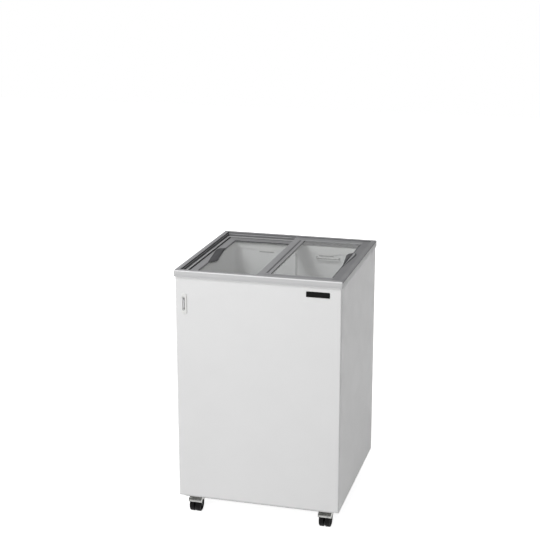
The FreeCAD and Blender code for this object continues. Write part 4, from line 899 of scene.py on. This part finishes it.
@dataclass
class MachineBay:
    """Cooling machine behind the rear grille, with the thermostat's dial.

    Attributes:
        sweep: Angle in degrees from the top of the dial to its first and last mark.
        mark_edge: Inset in mm, and share of the print's thickness, of each ring of a mark.
    """

    dial_mm: Point = (195.0, 259.0, 206.0)
    sweep: float = 135.0
    marks: int = 9
    mark_start_mm: float = 19.5
    mark_length_mm: Span = (2.0, 6.0)
    mark_width_mm: float = 1.4
    mark_radius_mm: float = 0.4
    mark_corner_steps: int = 3
    mark_rise_mm: float = 0.3
    mark_edge: Profile = ((0.0, -0.1), (0.0, 0.6), (0.25, 1.0))

    def build(self) -> None:
        """Dress the machine and print the dial."""
        dress(GALVANISED, "machine_bay_partition", "condenser_brackets")
        dress(COPPER, "evaporator_coil", "filter_drier", "discharge_pipe", "capillary_tube",
              "suction_pipe")
        dress(BLACK_STEEL, "compressor", "condenser_coil")
        dress(RUBBER, "compressor_grommets")
        dress(BLACK_PLASTIC, "relay_box", "thermostat_body", "thermostat_knob", "cord_gland")
        dress(ZINC, "mounting_bolts")
        self.dial()

    def dial(self) -> None:
        """Marks round the knob, longer towards the cold end."""
        shape = bmesh.new()
        first, last = self.mark_length_mm
        for mark in range(self.marks):
            share = mark / (self.marks - 1)
            turn = radians(self.sweep * (2 * share - 1))
            length = first + share * (last - first)
            out = Vector((sin(turn), 0.0, cos(turn)))
            side = Vector((cos(turn), 0.0, -sin(turn)))
            start = Vector(self.dial_mm) + out * (self.mark_start_mm + length / 2)
            rings = []
            for inset, rise in self.mark_edge:
                outline = rounded_outline(length / 2 - inset, self.mark_width_mm / 2 - inset,
                                          self.mark_radius_mm, self.mark_corner_steps)
                lift = Vector((0.0, self.mark_rise_mm * rise, 0.0))
                rings.append([(start + out * along + side * over + lift) * MM
                              for along, over in outline])
            skin(shape, rings)
        place_piece("thermostat_dial_marks", shape, (DIAL_PAINT,), "cabinet", "bezel_white")


@dataclass
class FrontFittings:
    """Bare badge plate and thermometer on the front panel.

    Attributes:
        badge_edge_mm: Inset and rise of each step of the badge's edge, as for card and clips.
        tube_ends: Shares of the tube's half, from where it starts to round off to its tip.
        tube_tip: Square of the width that is left at the tip, against the full width.
    """

    badge_radius_mm: float = 2.5
    badge_edge_mm: Profile = (
        (0.0, 0.0), (0.0, 1.1), (0.3, 1.55), (0.8, 1.8), (1.8, 1.8), (2.2, 1.5), (2.6, 1.35))
    card_radius_mm: float = 2.0
    card_edge_mm: Profile = ((0.0, 0.0), (0.0, 0.4), (0.2, 0.5))
    tube_half_mm: float = 20.0
    tube_wide_mm: float = 1.5
    tube_shift_mm: float = 1.4
    tube_seat_mm: float = 0.4
    tube_rise_mm: float = 0.85
    tube_steps: int = 10
    tube_ends: tuple[float, ...] = (0.85, 0.92, 0.97, 1.0)
    tube_tip: float = 0.02
    clip_level_mm: float = 16.5
    clip_half_mm: Span = (2.3, 3.2)
    clip_radius_mm: float = 1.2
    clip_edge_mm: Profile = ((0.0, 0.3), (0.0, 1.1), (0.3, 1.4))
    least_radius_mm: float = 0.3

    def build(self) -> None:
        """Make the badge and the thermometer."""
        dress(BEZEL, "thermometer_bezel")
        self.badge()
        self.thermometer()

    def foot(self, low: Vector, high: Vector) -> tuple[Vector, Span]:
        """Middle of a box's rear face in metres, and half of its width and height in mm."""
        middle = Vector(((low.x + high.x) / 2, high.y, (low.z + high.z) / 2))
        return middle, ((high.x - low.x) / 2 / MM, (high.z - low.z) / 2 / MM)

    def plate(self, shape: Mesh, middle: Vector, half: Span, radius: float, edge: Profile,
              finish: int = 0) -> None:
        """Rounded plate that stands on the front panel.

        Args:
            shape: Mesh that gets the plate.
            middle: Middle of its foot, in metres.
            half: Half of its width and height, in mm.
            radius: Radius of its corners, in mm.
            edge: Inset and rise of each step of its edge, in mm.
            finish: Number of its material.
        """
        rings = []
        for inset, rise in edge:
            outline = rounded_outline(half[0] - inset, half[1] - inset,
                                      max(radius - inset, self.least_radius_mm))
            rings.append([middle + Vector((x, -rise, z)) * MM for x, z in outline])
        skin(shape, rings, finish=finish)

    def badge(self) -> None:
        """Bare plate with a raised rounded border."""
        low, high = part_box("badge_plate")
        middle, half = self.foot(low, high)
        shape = bmesh.new()
        self.plate(shape, middle, half, self.badge_radius_mm, self.badge_edge_mm)
        place_piece("bare_badge", shape, (BADGE,), "cabinet", "badge_black", "badge_plate")

    def tube(self, shape: Mesh, middle: Vector) -> None:
        """Upright half-round glass tube with rounded ends.

        Args:
            shape: Mesh that gets the tube.
            middle: Middle of the card's foot, in metres.
        """
        straight = self.tube_ends[0]
        rings = []
        for share in [-end for end in reversed(self.tube_ends)] + list(self.tube_ends):
            past = (abs(share) - straight) / (1 - straight)
            full = sqrt(max(1 - past * past, self.tube_tip))
            wide, high = self.tube_wide_mm * full, self.tube_rise_mm * full
            rings.append([middle + Vector((self.tube_shift_mm + wide * cos(turn),
                                           -self.tube_seat_mm - high * sin(turn),
                                           self.tube_half_mm * share)) * MM
                          for turn in half_circle(self.tube_steps)])
        skin(shape, rings, finish=1)

    def thermometer(self) -> None:
        """Card with an upright glass tube held by two clips."""
        low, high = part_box("thermometer_window")
        middle, half = self.foot(low, high)
        shape = bmesh.new()
        self.plate(shape, middle, half, self.card_radius_mm, self.card_edge_mm)
        self.tube(shape, middle)
        for level in (-self.clip_level_mm, self.clip_level_mm):
            self.plate(shape, middle + Vector((self.tube_shift_mm, 0.0, level)) * MM,
                       self.clip_half_mm, self.clip_radius_mm, self.clip_edge_mm, finish=2)
        place_piece("thermometer_tube", shape, (SCALE_CARD, TUBE, CLIP), "cabinet", "window_dark",
                    "thermometer_window")


@dataclass
class Castor:
    """Twin wheel swivel castor.

    Attributes:
        rib_section: Distance in mm from a wheel's inner face, and share of half the thickness, of
            each corner of a rib.
        profile_mm: Distance from the inner face, and radius, of each corner of a wheel.
    """

    corner: Corner
    inner_face_mm: float = 2.7
    web_mm: float = 222.5
    web_half_mm: float = 2.2
    web_radius_mm: float = 26.8
    wheel_steps: int = 72
    ribs: int = 6
    rib_mm: Span = (8.2, 18.6)
    rib_half_mm: float = 0.8
    rib_section: Profile = ((12.9, -1.3), (14.6, -1.0), (14.9, 0.0), (14.6, 1.0), (12.9, 1.3))
    profile_mm: Profile = (
        (0.0, 4.03), (0.0, 24.2), (0.2, 24.7), (0.7, 25.0), (3.4, 25.0), (7.4, 25.0), (7.7, 24.5),
        (8.3, 24.5), (8.6, 25.0), (12.6, 25.0), (14.3, 24.7), (15.5, 23.6), (16.0, 22.0),
        (16.0, 19.4), (15.6, 18.7), (13.3, 18.1), (13.0, 17.6), (13.0, 9.0), (13.3, 8.5),
        (15.5, 8.1), (16.0, 7.6), (16.0, 4.03))

    def build(self) -> None:
        """Dress the hood and the axle and make the wheels."""
        name = self.corner.value
        low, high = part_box(f"{name}_castor_wheels")
        centre = (low + high) / 2
        web = Region(across=(self.web_mm - self.web_half_mm, self.web_mm + self.web_half_mm),
                     axle=(centre.y / MM, centre.z / MM, self.web_radius_mm))
        end = "front" if centre.y < 0 else "rear"
        # Zinc plated pressed steel, with the web between the wheels coloured near black.
        hood = ZincCoat(f"zinc_plated_{end}_hood", "#d6d6d3", "#b4b5b3", (0.3, 0.45), cloud_mm=5.0,
                        metallic=1.0, relief_mm=1.5, areas=((web, "#101010"),))
        dress(hood, f"{name}_castor_hood")
        dress(AXLE_STEEL, f"{name}_castor_axle")
        self.wheels(centre)

    def wheels(self, centre: Vector) -> None:
        """Two moulded wheels with a grooved tread and a ribbed dish.

        Args:
            centre: Middle of the axle, in metres.
        """
        shape = bmesh.new()
        for side in (-1, 1):
            rings = [[centre + Vector((side * (self.inner_face_mm + out), radius * cos(turn),
                                       radius * sin(turn))) * MM
                      for out, radius in self.profile_mm] for turn in circle(self.wheel_steps)]
            skin(shape, rings, closed=True)
            for rib in range(self.ribs):
                self.rib(shape, centre, side, 2 * pi * (rib + 0.5) / self.ribs)
        name = self.corner.value
        place_piece(f"{name}_twin_wheels", shape, (WHEEL,), f"{name}_wheels", "wheel_black",
                    f"{name}_castor_wheels", sharp=35.0)

    def rib(self, shape: Mesh, centre: Vector, side: int, turn: float) -> None:
        """Rib in the dish of a wheel.

        Args:
            shape: Mesh that gets the rib.
            centre: Middle of the axle, in metres.
            side: 1 for the right wheel, -1 for the left one.
            turn: Angle of the rib round the axle.
        """
        along = Vector((0.0, cos(turn), sin(turn)))
        over = Vector((0.0, -sin(turn), cos(turn)))
        rings = []
        for radius in self.rib_mm:
            foot = centre + along * radius * MM
            rings.append([foot + (Vector((side * (self.inner_face_mm + out), 0.0, 0.0))
                                  + over * (share * self.rib_half_mm)) * MM
                          for out, share in self.rib_section])
        skin(shape, rings)


class Undercarriage:
    """Top plates of the castors, and the castors under them."""

    def build(self) -> None:
        """Dress the plates and build a castor at each corner."""
        dress(ZINC, "castor_plates")
        for corner in Corner:
            Castor(corner).build()


@dataclass(frozen=True)
class Softbox:
    """Square soft lamp, with its place, aim and side in metres and its power in watts."""

    name: str
    place: Point
    aim: Point
    size: float
    power: float

    def build(self) -> None:
        """Set up the lamp, out of sight of the camera, mirrors and glass."""
        data = bpy.data.lights.new(self.name, "AREA")
        data.size = self.size
        data.energy = self.power
        lamp = bpy.data.objects.new(self.name, data)
        lamp.location = self.place
        back = Vector(self.place) - Vector(self.aim)
        lamp.rotation_euler = back.to_track_quat("Z", "Y").to_euler()
        lamp.visible_camera = False
        lamp.visible_glossy = False
        lamp.visible_transmission = False
        bpy.context.scene.collection.objects.link(lamp)


@dataclass
class Studio:
    """Camera, lamps, floor and background.

    Attributes:
        eye: Place of the camera, in metres.
        azimuth: Angle in degrees of the camera from straight in front, to the right.
        elevation: Angle in degrees by which it looks down.
        ambient: Strength of the even light from all round.
        behind_glass: Share of it that is left behind glass.
        glow: Strength of the floor's own light where it is seen.
    """

    eye: Point = (1.0626, -3.9998, 1.9262)
    azimuth: float = 15.321
    elevation: float = 15.324
    lens_mm: float = 85.49
    sensor_mm: float = 36.0
    floor_reach: float = 9.0
    ambient: float = 0.21
    behind_glass: float = 0.5
    glow: float = 0.88
    lamps: tuple[Softbox, ...] = (
        Softbox("front_softbox", (-0.6, -4.2, 1.3), (0.0, -0.28, 0.45), 3.0, 72.0),
        Softbox("upper_left_softbox", (-1.0, -1.6, 3.2), (0.1, 0.1, 0.6), 1.0, 43.0),
        Softbox("rear_softbox", (-0.8, 4.0, 1.1), (0.0, 0.28, 0.45), 3.0, 45.0))

    def build(self) -> None:
        """Set up the whole studio."""
        bpy.context.scene.view_settings.view_transform = "Standard"
        self.camera()
        self.world()
        self.floor()
        for lamp in self.lamps:
            lamp.build()

    def camera(self) -> None:
        """Camera at the place and angle of the view."""
        data = bpy.data.cameras.new("view")
        data.lens = self.lens_mm
        data.sensor_width = self.sensor_mm
        view = bpy.data.objects.new("view", data)
        turn, tilt = radians(self.azimuth), radians(self.elevation)
        back = Vector((sin(turn) * cos(tilt), -cos(turn) * cos(tilt), sin(tilt)))
        view.location = self.eye
        view.rotation_euler = back.to_track_quat("Z", "Y").to_euler()
        bpy.context.scene.collection.objects.link(view)
        bpy.context.scene.camera = view

    def seen(self, tree: Tree) -> Socket:
        """Value of 1 for rays that see the background, straight, mirrored or through glass.

        Args:
            tree: Node tree that gets the nodes.

        Returns:
            Socket with the value.
        """
        path = add_node(tree, "LightPath").outputs
        seen = reckon(tree, "MAXIMUM", path["Is Camera Ray"], path["Is Glossy Ray"])
        seen = reckon(tree, "MAXIMUM", seen, path["Is Transmission Ray"])
        direct = reckon(tree, "LESS_THAN", path["Diffuse Depth"], FIRST_BOUNCE)
        return reckon(tree, "MULTIPLY", seen, direct)

    def world(self) -> None:
        """White background for what is seen, even soft light for what is lit."""
        world = bpy.data.worlds.new("studio")
        bpy.context.scene.world = world
        world.use_nodes = True
        tree = world.node_tree
        tree.nodes.clear()
        through = add_node(tree, "LightPath").outputs["Is Transmission Ray"]
        light = add_node(tree, "MapRange", {
            "Value": through, "To Min": self.ambient,
            "To Max": self.ambient * self.behind_glass}).outputs["Result"]
        strength = reckon(tree, "MAXIMUM", self.seen(tree), light)
        back = add_node(tree, "Background", {"Color": WHITE, "Strength": strength})
        add_node(tree, "OutputWorld", {"Surface": back.outputs["Background"]})

    def floor(self) -> None:
        """Pale floor that keeps the shadow and runs into the white background."""
        mesh = bpy.data.meshes.new("floor")
        reach = self.floor_reach
        corners = [(-reach, -reach, 0), (reach, -reach, 0), (reach, reach, 0), (-reach, reach, 0)]
        mesh.from_pydata(corners, [], [tuple(range(len(corners)))])
        floor = bpy.data.objects.new("floor", mesh)
        bpy.context.scene.collection.objects.link(floor)
        made = bpy.data.materials.new("pale_studio_floor")
        made.use_nodes = True
        tree = made.node_tree
        tree.nodes.clear()
        glow = reckon(tree, "MULTIPLY", self.seen(tree), self.glow)
        lit = add_node(tree, "BsdfDiffuse").outputs["BSDF"]
        shine = add_node(tree, "Emission", {"Strength": glow}).outputs["Emission"]
        both = add_node(tree, "AddShader", {0: lit, 1: shine}).outputs["Shader"]
        add_node(tree, "OutputMaterial", {"Surface": both})
        mesh.materials.append(made)


def main() -> None:
    """Build and dress the freezer, then set up the studio."""
    logging.basicConfig(level=logging.INFO)
    Cabinet().build()
    Rim().build()
    SlidingLid(Side.LEFT, outer_edge_mm=-244.5, inward=1, top_mm=830.0, clear_half_mm=214.5,
               trim=LEFT_TRIM).build()
    SlidingLid(Side.RIGHT, outer_edge_mm=258.0, inward=-1, top_mm=843.0, clear_half_mm=228.5,
               trim=RIGHT_TRIM).build()
    Tub().build()
    MachineBay().build()
    FrontFittings().build()
    Undercarriage().build()
    Studio().build()


if __name__ == "__main__":
    main()
